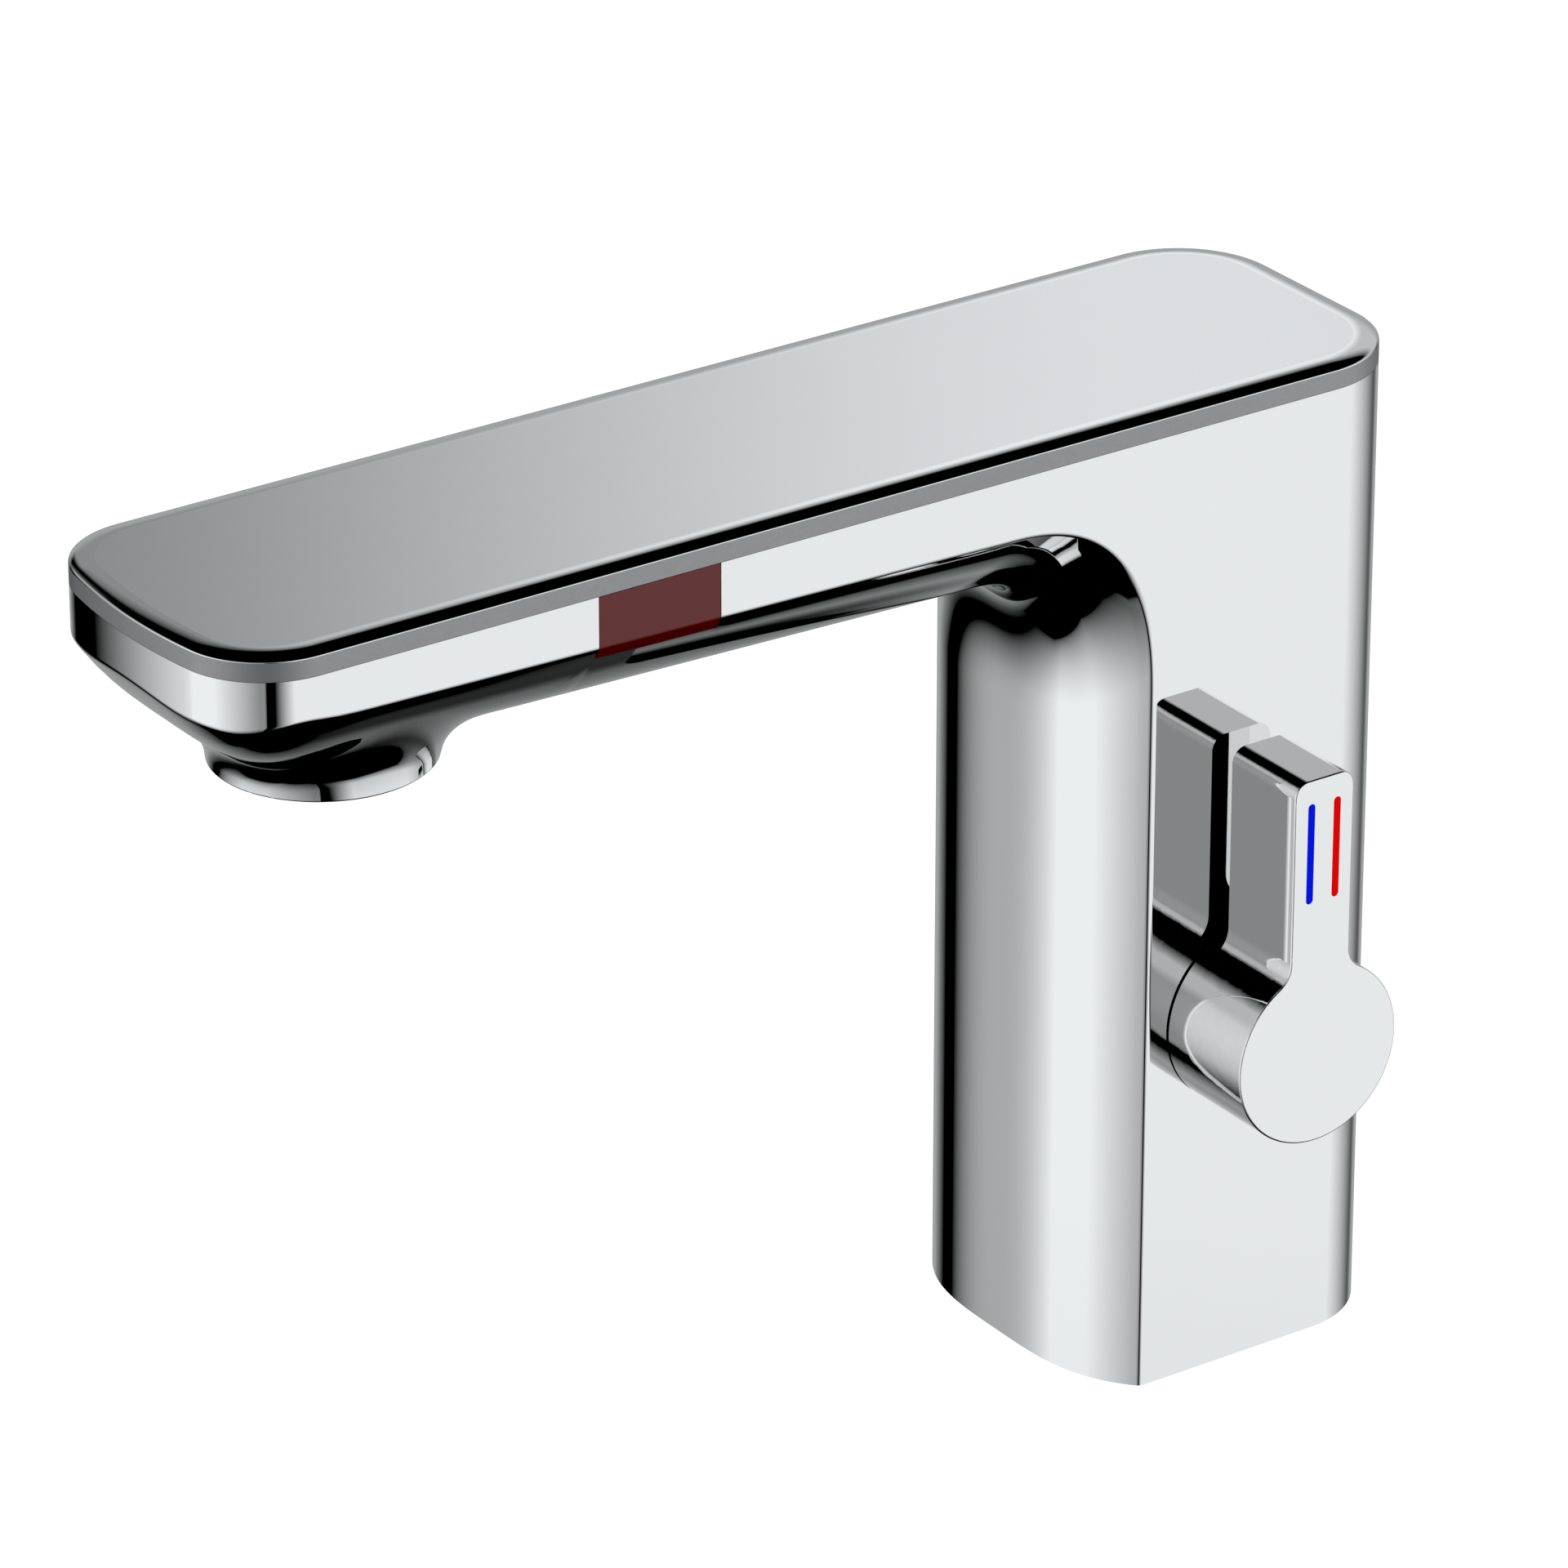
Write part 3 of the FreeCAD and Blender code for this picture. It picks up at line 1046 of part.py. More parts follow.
def solenoid_coil():
    """Encapsulated winding on its bobbin."""
    coil = upright_tube(COIL_RADIUS, GUIDE_RADIUS + SLIP, VALVE_X, LEVER_Y, COIL_BOTTOM, COIL_TOP)
    collars = []
    for z in (COIL_BOTTOM, COIL_TOP - COLLAR_HEIGHT):
        collars.append(upright_tube(COIL_RADIUS + COLLAR, COIL_RADIUS - BITE, VALVE_X, LEVER_Y, z,
                                    z + COLLAR_HEIGHT))
    return join([coil] + collars)


def coil_yoke():
    """Bent steel strap round the coil, whose foot spreads over the valve."""
    side = COIL_RADIUS + COLLAR + SLIP
    x0, x1 = VALVE_X - YOKE_HALF, VALVE_X + YOKE_HALF
    y0, y1 = LEVER_Y - side - YOKE, LEVER_Y + side
    top = COIL_TOP + YOKE
    foot = valve_slab(VALVE_TOP, COIL_BOTTOM)
    roof = box(x0, x1, y0, y1, COIL_TOP, top)
    back = box(x0, x1, y0, y0 + YOKE, VALVE_TOP, top)
    low, high = VALVE_TOP - PAST, COIL_BOTTOM + PAST
    cuts = [upright(GUIDE_RADIUS + SLIP, VALVE_X, LEVER_Y, low, top + PAST),
            upright(WATER_RADIUS + TUBE_WALL + PASSAGE_GAP, OUTLET_X, LEVER_Y, low, high)]
    return join([foot, roof, back]).cut(cuts + manifold_clearances(low, high))


# ---- base --------------------------------------------------------------------------------------
def foot_slab(z0, z1):
    """Slab wider than the column, between two heights."""
    reach = 2 * HALF_WIDTH
    return box(-reach, reach, -reach, reach, z0, z1)


def base_plate(space):
    """Plate across the foot of the column, with the stud thread and the passages."""
    high = PLATE_TOP + PAST
    plate = space.common(foot_slab(BASE_GASKET, PLATE_TOP))
    cuts = [upright(STUD_RADIUS, 0, STUD_Y, 0, high),
            upright(GROMMET_RADIUS - GROMMET_FLANGE, 0, CABLE_Y, 0, high),
            upright(GROMMET_RADIUS + SLIP, 0, CABLE_Y, 0, BASE_GASKET + GROMMET_FLANGE)]
    cuts += [upright(INLET_RADIUS + PASSAGE_GAP, x, LEVER_Y, 0, high) for x in inlet_places().values()]
    for x, y in boss_places():
        cuts.append(upright(M4_RADIUS + SLIP, x, y, 0, high))
        cuts.append(upright(M4_HEAD + SLIP, x, y, 0, BASE_GASKET + M4_HEAD_HEIGHT + SLIP))
    return plate.cut(cuts)


def base_gasket(space):
    """Rubber sheet under the plate, open where stud, hoses and cable pass."""
    sheet = space.common(foot_slab(0, BASE_GASKET))
    return sheet.cut(upright(DECK_HOLE, 0, 0, -PAST, BASE_GASKET + PAST))


def base_screws():
    seat = BASE_GASKET + M4_HEAD_HEIGHT + SLIP
    length = PLATE_TOP + BOSS_HEIGHT - BOSS_CAP - SCREW_TIP - seat
    return group([screw(x, y, seat, length, M4_RADIUS, M4_HEAD, M4_HEAD_HEIGHT, down=False)
                  for x, y in boss_places()])


def cable_grommet():
    """Rubber grommet that lines the cable's passage through the plate."""
    low = upright(GROMMET_RADIUS, 0, CABLE_Y, BASE_GASKET, BASE_GASKET + GROMMET_FLANGE)
    waist = upright(GROMMET_RADIUS - GROMMET_FLANGE - RUN, 0, CABLE_Y, BASE_GASKET, PLATE_TOP)
    high = upright(GROMMET_RADIUS, 0, CABLE_Y, PLATE_TOP, PLATE_TOP + GROMMET_FLANGE)
    bore = upright(CABLE_RADIUS, 0, CABLE_Y, 0, PLATE_TOP + GROMMET_FLANGE + PAST)
    return join([low, waist, high]).cut(bore)


# ---- electronics -------------------------------------------------------------------------------
BOARD_Z = TRAY_Z + TRAY_PLATE + BOARD_GAP
SENSOR_X = SENSOR_SPLIT + HEAD_SPLIT
HEAD_START = SENSOR_X + SENSOR_BOARD + SLIP
HEAD_END = INNER_HALF - HEAD_CLEAR
HEAD_FRONT = WINDOW_START + HEAD_END_GAP
HEAD_BACK = WINDOW_END - HEAD_END_GAP
HEAD_BOTTOM = TRAY_Z - HEAD_DROP
HEAD_TOP = BODY_TOP - HEAD_CLEAR
EYE_Z = (HEAD_BOTTOM + HEAD_TOP) / 2
EYE_START = HEAD_START + HEAD_BACK_WALL
EYE_BORE = (HEAD_TOP - HEAD_BOTTOM) / 2 - HEAD_WALL


def tray_plate(z0, z1):
    """Full width behind the sensor head, and narrower beside it."""
    wide = box(-TRAY_HALF, TRAY_HALF, HEAD_BACK + HEAD_GAP, TRAY_BACK, z0, z1)
    slim = box(-TRAY_HALF, SENSOR_SPLIT, TRAY_FRONT, TRAY_BACK, z0, z1)
    return wide.fuse(slim).removeSplitter()


def board_post_places():
    columns = (POST_LEFT - TRAY_HALF, SENSOR_SPLIT - POST_RIGHT)
    return [(x, y) for x in columns for y in (TRAY_FRONT + POST_INSET, TRAY_BACK - POST_INSET)]


def electronics_tray():
    """Moulded tray on the ledges of the spout, with posts under the board and a shelf for the head."""
    plate = tray_plate(TRAY_Z, TRAY_Z + TRAY_PLATE)
    posts = [upright(POST_RADIUS, x, y, TRAY_Z, BOARD_Z) for x, y in board_post_places()]
    tray = join([plate] + posts)
    cuts = [upright(M2_RADIUS + SLIP, x, y, TRAY_Z - PAST, BOARD_Z) for x, y in tray_screw_places()]
    cuts += [upright(M2_RADIUS, x, y, TRAY_Z + POST_FLOOR, BOARD_Z + PAST)
             for x, y in board_post_places()]
    return tray.cut(cuts)


def tray_screws():
    seat = TRAY_Z + TRAY_PLATE
    length = TRAY_PLATE + TRAY_SCREW_DEPTH
    return group([screw(x, y, seat, length, M2_RADIUS, M2_HEAD, M2_HEAD_HEIGHT)
                  for x, y in tray_screw_places()])


def control_board():
    """Circuit board with its larger components."""
    top = BOARD_Z + BOARD
    board = box(-BOARD_EDGE, SENSOR_SPLIT - BOARD_SIDE, TRAY_FRONT + BOARD_INSET,
                TRAY_BACK - BOARD_INSET, BOARD_Z, top)
    components = [box(x, x + across_x, y, y + along_y, top, top + height)
                  for x, across_x, y, along_y, height in COMPONENTS]
    board = join([board] + components)
    return board.cut([upright(M2_RADIUS + SLIP, x, y, BOARD_Z - PAST, top + PAST)
                      for x, y in board_post_places()])


def board_screws():
    return group([screw(x, y, BOARD_Z + BOARD, BOARD + BOARD_GAP, M2_RADIUS, M2_HEAD, M2_HEAD_HEIGHT)
                  for x, y in board_post_places()])


def board_connector():
    """Plug row for the solenoid, the sensor head and the supply."""
    low = BOARD_Z + BOARD
    high = low + PLUG_HEIGHT
    front, back = PLUG_YS
    starts = [PLUG_START + PLUG_PITCH * k for k in range(3)]
    row = box(PLUG_START, PLUG_START + 3 * PLUG_PITCH, front, back, low, high)
    return row.cut([box(x + PLUG_WALL, x + PLUG_PITCH - PLUG_WALL, front + PLUG_WALL, back - PLUG_WALL,
                        low + PLUG_FLOOR, high + PAST) for x in starts])


def eye_places():
    middle = (WINDOW_START + WINDOW_END) / 2
    return {"infrared_emitter": middle - EYE_SPACING / 2, "infrared_receiver": middle + EYE_SPACING / 2}


def sensor_head():
    """Opaque holder that keeps the two eyes apart behind the window."""
    head = box(HEAD_START, HEAD_END, HEAD_FRONT, HEAD_BACK, HEAD_BOTTOM, HEAD_TOP)
    return head.cut([across(EYE_BORE, EYE_START, HEAD_END + PAST, y, EYE_Z)
                     for y in eye_places().values()])


def infrared_eye(y):
    """Round component with a domed end that looks out through the window."""
    radius = EYE_BORE - SLIP
    dome_x = HEAD_END - radius - EYE_SETBACK
    body = across(radius, EYE_START + RUN, dome_x, y, EYE_Z)
    return body.fuse(Part.makeSphere(radius, Vector(dome_x, y, EYE_Z))).removeSplitter()


def sensor_board():
    return box(SENSOR_X, SENSOR_X + SENSOR_BOARD, HEAD_FRONT, HEAD_BACK, HEAD_BOTTOM, HEAD_TOP)


# ---- write every piece -------------------------------------------------------------------------
def pieces():
    """Every piece of the tap by its node name."""
    cavity = tap_space(WALL, -PAST, BODY_TOP + PAST)
    foot_space = tap_space(WALL + PASSAGE_GAP, -PAST, BODY_TOP)
    parts = {
        "body_shell": body_shell(cavity),
        "sensor_window": sensor_window(tap_space(0, 0, BODY_TOP)),
        "top_cover": top_cover(),
        "cover_gasket": cover_gasket(),
        "cover_clips": cover_clips(),
        "aerator_housing": aerator_housing(),
        "aerator_insert": aerator_insert(),
        "aerator_screen": aerator_screen(),
        "aerator_washer": aerator_washer(),
        "outlet_elbow": outlet_elbow(),
        "spout_tube": spout_tube(),
        "handle": handle(),
        "handle_grub_screw": handle_grub_screw(),
        "cartridge_body": cartridge_body(),
        "cartridge_stem": cartridge_stem(),
        "moving_ceramic_disc": moving_ceramic_disc(),
        "fixed_ceramic_disc": fixed_ceramic_disc(),
        "cartridge_seal": cartridge_seal(),
        "stem_o_ring": stem_o_ring(),
        "cartridge_nut": cartridge_nut(),
        "waterway_block": waterway_block(),
        "inlet_o_rings": inlet_o_rings(),
        "valve_body": valve_body(),
        "valve_o_ring": valve_o_ring(),
        "manifold_screws": manifold_screws(),
        "plunger_guide": plunger_guide(),
        "fixed_core": fixed_core(),
        "solenoid_plunger": solenoid_plunger(),
        "plunger_seal": plunger_seal(),
        "plunger_spring": plunger_spring(),
        "solenoid_coil": solenoid_coil(),
        "coil_yoke": coil_yoke(),
        "base_plate": base_plate(foot_space),
        "base_gasket": base_gasket(foot_space),
        "base_screws": base_screws(),
        "cable_grommet": cable_grommet(),
        "electronics_tray": electronics_tray(),
        "tray_screws": tray_screws(),
        "control_board": control_board(),
        "board_screws": board_screws(),
        "board_connector": board_connector(),
        "sensor_head": sensor_head(),
        "sensor_board": sensor_board(),
    }
    for name, offset in mark_places().items():
        parts[name] = mark_slot(offset, FRONT_X)
    for name, y in eye_places().items():
        parts[name] = infrared_eye(y)
    for name, x in inlet_places().items():
        parts[name + "_inlet"] = inlet_nipple(x)
        parts[name + "_check_housing"] = check_valve_housing(x)
        parts[name + "_check_poppet"] = check_valve_poppet(x)
        parts[name + "_check_spring"] = check_valve_spring(x)
    return parts


os.makedirs("parts", exist_ok=True)
for node, shape in pieces().items():
    shape.exportStep("parts/" + node + ".step")
    print(node, len(shape.Solids), round(shape.Volume, 1), shape.isValid())
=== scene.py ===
"""Looks of the sensor tap: chromed casting and handle, satin cover, dark red window, coloured marks.

The casting, its window and the cover are made anew here from the same formulas as the solids, with
their long edges rounded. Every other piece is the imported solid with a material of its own.
Lengths are written in millimetres and become metres when a mesh is made.
"""

import json
import math

import bmesh
import bpy
import numpy as np
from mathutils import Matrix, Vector


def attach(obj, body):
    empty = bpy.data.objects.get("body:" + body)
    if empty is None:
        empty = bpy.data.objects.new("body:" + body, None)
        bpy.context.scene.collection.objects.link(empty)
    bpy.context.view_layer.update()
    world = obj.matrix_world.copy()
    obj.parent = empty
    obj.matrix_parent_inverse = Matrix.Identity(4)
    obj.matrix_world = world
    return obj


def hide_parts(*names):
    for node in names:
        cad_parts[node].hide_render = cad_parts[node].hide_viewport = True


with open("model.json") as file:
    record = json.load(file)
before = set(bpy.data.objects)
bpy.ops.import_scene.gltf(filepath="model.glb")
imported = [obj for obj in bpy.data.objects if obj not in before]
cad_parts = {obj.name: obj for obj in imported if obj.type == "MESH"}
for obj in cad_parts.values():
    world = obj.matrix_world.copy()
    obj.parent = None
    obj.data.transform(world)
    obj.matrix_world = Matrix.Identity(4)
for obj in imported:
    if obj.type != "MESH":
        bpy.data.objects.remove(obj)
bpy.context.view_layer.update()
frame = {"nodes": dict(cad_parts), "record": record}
MM = 0.001

# ---- sizes of the tap, as in its solids ---------------------------------------------------------
HALF_WIDTH = 25.0            # half the width of column and spout
COLUMN_BACK = 26.0
COLUMN_EDGE = -19.0          # y of the edge between side and crowned front
COLUMN_CROWN = 7.0
BACK_RADIUS = 14.5
TIP_Y = -165.6               # y of the spout's end
TIP_RADIUS = 13.0
TIP_BOW = 90.0
SEAM_Z = 145.6
BODY_TOP = 145.3
WALL = 2.5
BAND_ROOT, BAND_TIP = 9.2, 6.5
SPOUT_CROWN_ROOT, SPOUT_CROWN_TIP = 12.8, 12.2
CROWN_POWER = 3.5
TIP_CROWN = 25.0
TIP_POWER = 4.2
ARCH_END = -44.0
ARCH_POWER = 2.45
ARCH_EDGE_HEIGHT = 29.0
ARCH_CROWN_HEIGHT = 24.0
COVER_RIM = 2.4
COVER_RISE = 0.8
COVER_BEVEL = 3.6
COVER_WALL = 2.6
COVER_SKIN = 1.6
NOZZLE_Y = -136.2
NOZZLE_Z = 120.7             # rim of the nozzle
NOZZLE_RADIUS = 15.5
NOZZLE_FLARE = 6.0
NOZZLE_BORE = 12.1
BOSS_TOP = 130.2             # top of the ring behind the nozzle
BOSS_RADIUS = 14.7
WINDOW_YS = (-109.2, -90.0)  # opening of the sensor window
WINDOW_SHARE = 0.9545        # where the opening ends on the crowned underside, as a share of the width
WINDOW_GAP = 0.1
HUB_Y, HUB_Z, HUB_BORE = -1.9, 54.7, 12.6

# ---- sizes that only the looks have --------------------------------------------------------------
EDGE_ROUND = 1.5             # radius between the flat sides and the crowned faces
RIM_ROUND = 0.3              # and round the nozzle's rim
LIP = 0.12                   # thickness of the cover's lip beside the gasket
LIP_GAP = 0.05
LENS_WALL = 2.3              # thickness of the window
LENS_LOW_RISE = 0.3          # how fast its inner wall rises with thickness at the low end
LENS_EDGE_RISE = 0.6         # and at the edge line
LENS_TOP_GAP = 0.05

# ---- fineness of the meshes, as points or rows ---------------------------------------------------
STRAIGHT_POINTS, CORNER_POINTS, BOW_POINTS = 16, 20, 14
ACROSS_POINTS = 93           # across the skin between its two outermost columns
BELOW_HUB, BESIDE_HUB, ABOVE_HUB = 4, 12, 4
ARCH_ROWS = 60
SPOUT_ROWS = 23              # between arch and window
SIDE_POINTS = 13
FIRST_SIDE_Y = -16.5         # of the column's first cells behind the edge
BACK_STEP = 7.0              # from a back corner's end to the one point on the flat back
EDGE_STEPS = 6
WINDOW_ROWS = 12
BEVEL_ROWS = 11
NOZZLE_TURNS = np.linspace(0, math.pi / 2, 10)
RIM_TURNS = NOZZLE_TURNS[::3]
UNDERSIDE_ROWS = 7
BOSS_STEP = 0.2              # between the inner rings that match the nozzle's bore and rim
FLARE_CLIMB = 0.1            # least rise of the flare's rings over the rim, per radian
BORDER_GAP = 0.3             # between the last ring and the border of the nozzle's patch
INNER_BORDER_GAP = 0.5
WELD = 1e-7                  # metres within which points are one
SHARP_ANGLE = 30.0           # degrees from which an edge stays sharp


# ---- outline and skin ----------------------------------------------------------------------------
def band_share(y):
    """0 where the arch ends and 1 at the spout's end."""
    return (ARCH_END - y) / (ARCH_END - TIP_Y)


def side_edge_z(y):
    """Straight line from the band's root to its tip, measured down from the seam."""
    return SEAM_Z - BAND_ROOT + (BAND_ROOT - BAND_TIP) * band_share(y)


def underside_z(x, y, inset):
    """Edge height less crown depth times 1 - (|x/half|^p + fade^p)^(q/p), fade growing to the tip."""
    depth = SPOUT_CROWN_ROOT + (SPOUT_CROWN_TIP - SPOUT_CROWN_ROOT) * band_share(y)
    fade = np.maximum(0.0, TIP_Y + TIP_CROWN - y) / (TIP_CROWN - inset)
    across = np.abs(x / (HALF_WIDTH - inset))
    share = 1 - (across ** TIP_POWER + fade ** TIP_POWER) ** (CROWN_POWER / TIP_POWER)
    return side_edge_z(y) + inset - depth * share


def skin(inset, shares, column_heights, turns, spout_ys):
    """Rows across the tap: x is the share times the half width, and each row swings from the side's
    edge line to the crown line by 1 - |share|^q. Column rows rise, arch rows follow two
    superellipses of one angle, and spout rows follow underside_z."""
    half = HALF_WIDTH - inset
    swing = (1 - np.abs(shares) ** CROWN_POWER)[None, :]
    edge_y, crown_y = COLUMN_EDGE + inset, COLUMN_EDGE + inset - COLUMN_CROWN
    edge_top = side_edge_z(ARCH_END) + inset
    crown_top = edge_top - SPOUT_CROWN_ROOT
    edge_spring = edge_top - ARCH_EDGE_HEIGHT - inset
    crown_spring = crown_top - ARCH_CROWN_HEIGHT - inset
    along = np.cos(turns) ** (2 / ARCH_POWER)
    up = np.sin(turns) ** (2 / ARCH_POWER)

    rise = column_heights / column_heights[-1]
    edge_ys = np.concatenate([np.full(len(rise), edge_y), ARCH_END + (edge_y - ARCH_END) * along])
    crown_ys = np.concatenate([np.full(len(rise), crown_y), ARCH_END + (crown_y - ARCH_END) * along])
    edge_zs = np.concatenate([edge_spring * rise, edge_spring + (edge_top - edge_spring) * up])
    crown_zs = np.concatenate([crown_spring * rise, crown_spring + (crown_top - crown_spring) * up])
    ys = edge_ys[:, None] + (crown_ys - edge_ys)[:, None] * swing
    zs = edge_zs[:, None] + (crown_zs - edge_zs)[:, None] * swing
    xs = np.broadcast_to(shares * half, ys.shape)
    upper = np.stack([xs, ys, zs], -1)

    spout_xs, spout_rows = np.meshgrid(shares * half, spout_ys)
    spout = np.stack([spout_xs, spout_rows, underside_z(spout_xs, spout_rows, inset)], -1)
    return np.concatenate([upper, spout])


def arc(cx, cy, radius, start, end, count):
    """Points of a circle between two angles."""
    angles = np.linspace(start, end, count)
    return np.stack([cx + radius * np.cos(angles), cy + radius * np.sin(angles)], -1)


def front_outline(inset, start_y):
    """Plan from the +x side round the bowed end to the -x side: straights, round corners, one bow."""
    bow_y = TIP_Y + TIP_BOW
    corner_x = HALF_WIDTH - TIP_RADIUS
    corner_y = bow_y - math.sqrt((TIP_BOW - TIP_RADIUS) ** 2 - corner_x ** 2)
    turn = math.atan2(bow_y - corner_y, corner_x)
    straight = np.linspace(start_y, corner_y, STRAIGHT_POINTS)[:-1]
    side = np.stack([np.full(len(straight), HALF_WIDTH - inset), straight], -1)
    corner = arc(corner_x, corner_y, TIP_RADIUS - inset, 0, -turn, CORNER_POINTS)[:-1]
    bow = arc(0, bow_y, TIP_BOW - inset, -turn, -math.pi / 2, BOW_POINTS)
    right = np.concatenate([side, corner, bow])
    return np.concatenate([right, right[-2::-1] * (-1, 1)])


def back_outline(inset, side_ys):
    """Plan from the +x side round the two back corners to the -x side."""
    first = COLUMN_EDGE + inset
    corner_y = COLUMN_BACK - BACK_RADIUS
    ys = first + (side_ys - COLUMN_EDGE) * (corner_y - first) / (corner_y - COLUMN_EDGE)
    side = np.stack([np.full(len(ys), HALF_WIDTH - inset), ys], -1)
    corner_x = HALF_WIDTH - BACK_RADIUS
    corner = arc(corner_x, corner_y, BACK_RADIUS - inset, 0, math.pi / 2, CORNER_POINTS)[1:]
    flat = np.array([[corner_x - BACK_STEP, COLUMN_BACK - inset]])
    right = np.concatenate([side, corner, flat])
    return np.concatenate([right, right[::-1] * (-1, 1)])


def lift(plan, z):
    """Plan points with a height each."""
    return np.concatenate([plan, np.broadcast_to(z, len(plan))[:, None]], 1)


def between(low, high, shares):
    """Rows of points on straight lines from low to high at the given shares."""
    return low[None] + (high - low)[None] * np.asarray(shares)[:, None, None]


def unit(vectors):
    """Vectors of the same directions whose length is one."""
    return vectors / np.linalg.norm(vectors, axis=-1, keepdims=True)


def rounded_edge(edge, inner, outward):
    """Rows of an arc that touches the skin and the wall beside an edge line. The wall runs along
    tangent x outward, the skin towards the inner points made square to the tangent, the centre lies
    at radius / sin(half the angle) between them, and the rows turn about it from skin to wall."""
    steps = unit(np.diff(edge, axis=0))
    along = unit(np.concatenate([steps[:1], steps[:-1] + steps[1:], steps[-1:]]))
    wall_way = unit(np.cross(along, outward))
    aside = inner - edge
    skin_way = unit(aside - (aside * along).sum(1, keepdims=True) * along)
    half = np.arccos((wall_way * skin_way).sum(1, keepdims=True)) / 2
    middle = unit(wall_way + skin_way) * EDGE_ROUND / np.sin(half)
    reach = EDGE_ROUND / np.tan(half)
    first, last = skin_way * reach - middle, wall_way * reach - middle
    turn = math.pi - 2 * half
    shares = np.linspace(0, 1, EDGE_STEPS + 1)
    return np.stack([edge + middle + (np.sin((1 - share) * turn) * first + np.sin(share * turn) * last)
                     / np.sin(turn) for share in shares])


def outward_of(plan):
    """Level normals of a plan that is followed from the +x side round the front to the -x side."""
    steps = unit(np.diff(plan[:, :2], axis=0))
    along = unit(np.concatenate([steps[:1], steps[:-1] + steps[1:], steps[-1:]]))
    return np.stack([-along[:, 1], along[:, 0], np.zeros(len(plan))], -1)


# ---- meshes --------------------------------------------------------------------------------------
def cell_corners(rows, columns, closed):
    """Four corner numbers of each cell of a grid, whose last column may meet its first."""
    index = np.arange(rows * columns).reshape(rows, columns)
    if closed:
        index = np.concatenate([index, index[:, :1]], 1)
    return np.stack([index[:-1, :-1], index[:-1, 1:], index[1:, 1:], index[1:, :-1]], -1)


def mesh_object(name, points, faces, materials):
    """Fixed piece of the tap at the origin, welded, with its normals turned outwards."""
    mesh = bpy.data.meshes.new(name)
    mesh.from_pydata((np.asarray(points) * MM).tolist(), [], [list(map(int, face)) for face in faces])
    built = bmesh.new()
    built.from_mesh(mesh)
    bmesh.ops.remove_doubles(built, verts=built.verts, dist=WELD)
    bmesh.ops.recalc_face_normals(built, faces=built.faces)
    built.to_mesh(mesh)
    built.free()
    mesh.shade_smooth()
    obj = bpy.data.objects.new(name, mesh)
    bpy.context.scene.collection.objects.link(obj)
    for material in materials:
        mesh.materials.append(material)
    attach(obj, "tap")
    return obj


def two_walls(patches):
    """Closed shell from matching outer and inner grids: cells that share corners are joined, and each
    free outer edge gets a face across to the inner wall. Each patch is (outer, inner, kept cells,
    closed)."""
    outer, inner, cells, start = [], [], [], 0
    for out, ins, kept, closed in patches:
        corners = cell_corners(out.shape[0], out.shape[1], closed)
        if kept is not None:
            corners = corners[kept]
        cells.append(corners.reshape(-1, 4) + start)
        outer.append(out.reshape(-1, 3))
        inner.append(ins.reshape(-1, 3))
        start += out.shape[0] * out.shape[1]
    outer, inner, cells = np.concatenate(outer), np.concatenate(inner), np.concatenate(cells)
    _, first, back = np.unique(np.round(outer, 4), axis=0, return_index=True, return_inverse=True)
    back = back.reshape(-1)
    outer, inner, cells = outer[first], inner[first], back[cells]
    edges = np.concatenate([cells[:, [k, (k + 1) % 4]] for k in range(4)])
    ordered, counts = np.unique(np.sort(edges, 1), axis=0, return_counts=True)
    free = ordered[counts == 1]
    free = free[free[:, 0] != free[:, 1]]
    count = len(outer)
    sides = np.stack([free[:, 0], free[:, 1], free[:, 1] + count, free[:, 0] + count], -1)
    faces = [list(dict.fromkeys(cell)) for cell in np.concatenate([cells, cells[:, ::-1] + count, sides])]
    return np.concatenate([outer, inner]), [face for face in faces if len(face) > 2]


def shade(obj):
    """Sharp edges where faces meet at a large angle; elsewhere the larger faces rule the shading."""
    obj.data.set_sharp_from_angle(angle=math.radians(SHARP_ANGLE))
    shading = obj.modifiers.new("shading", "WEIGHTED_NORMAL")
    shading.keep_sharp = True


# ---- casting and window --------------------------------------------------------------------------
# Rows and columns of the casting's grids. The column has close rows beside the hub, and the spout's
# last rows are those of the window.
SHARES = np.concatenate([[-1.0], np.linspace(-WINDOW_SHARE, WINDOW_SHARE, ACROSS_POINTS), [1.0]])
HUB_LOW, HUB_HIGH = 39.0, 70.0
HUB_ROWS = (BELOW_HUB, BELOW_HUB + BESIDE_HUB)
EDGE_SPRING = side_edge_z(ARCH_END) - ARCH_EDGE_HEIGHT
COLUMN_HEIGHTS = np.concatenate([np.linspace(0, HUB_LOW, BELOW_HUB + 1)[:-1],
                                 np.linspace(HUB_LOW, HUB_HIGH, BESIDE_HUB + 1)[:-1],
                                 np.linspace(HUB_HIGH, EDGE_SPRING, ABOVE_HUB + 1)])
SPRING_ROW = len(COLUMN_HEIGHTS) - 1    # the skin's row where the arch springs from the column
TURNS = np.linspace(0, math.pi / 2, ARCH_ROWS + 1)[1:]
SPOUT_YS = np.concatenate([np.linspace(ARCH_END, WINDOW_YS[1], SPOUT_ROWS + 1)[1:],
                           np.linspace(WINDOW_YS[1], WINDOW_YS[0], WINDOW_ROWS)[1:]])
SIDE_YS = np.concatenate([[COLUMN_EDGE], np.linspace(FIRST_SIDE_Y, COLUMN_BACK - BACK_RADIUS, SIDE_POINTS)])
LAST_SIDE = len(SIDE_YS) - 1
WALL_SHARES = np.array([0.0, 0.4, 0.7, 1.0])
HUB_PLATE_SHARES = (0.0, 0.4, 1.0)
LENS_SHARES = (0.4, 1.0)
RIM_MARGIN, FLAT_MARGIN = 0.01, 0.004   # tell the cover's bevel from its rim and its flat
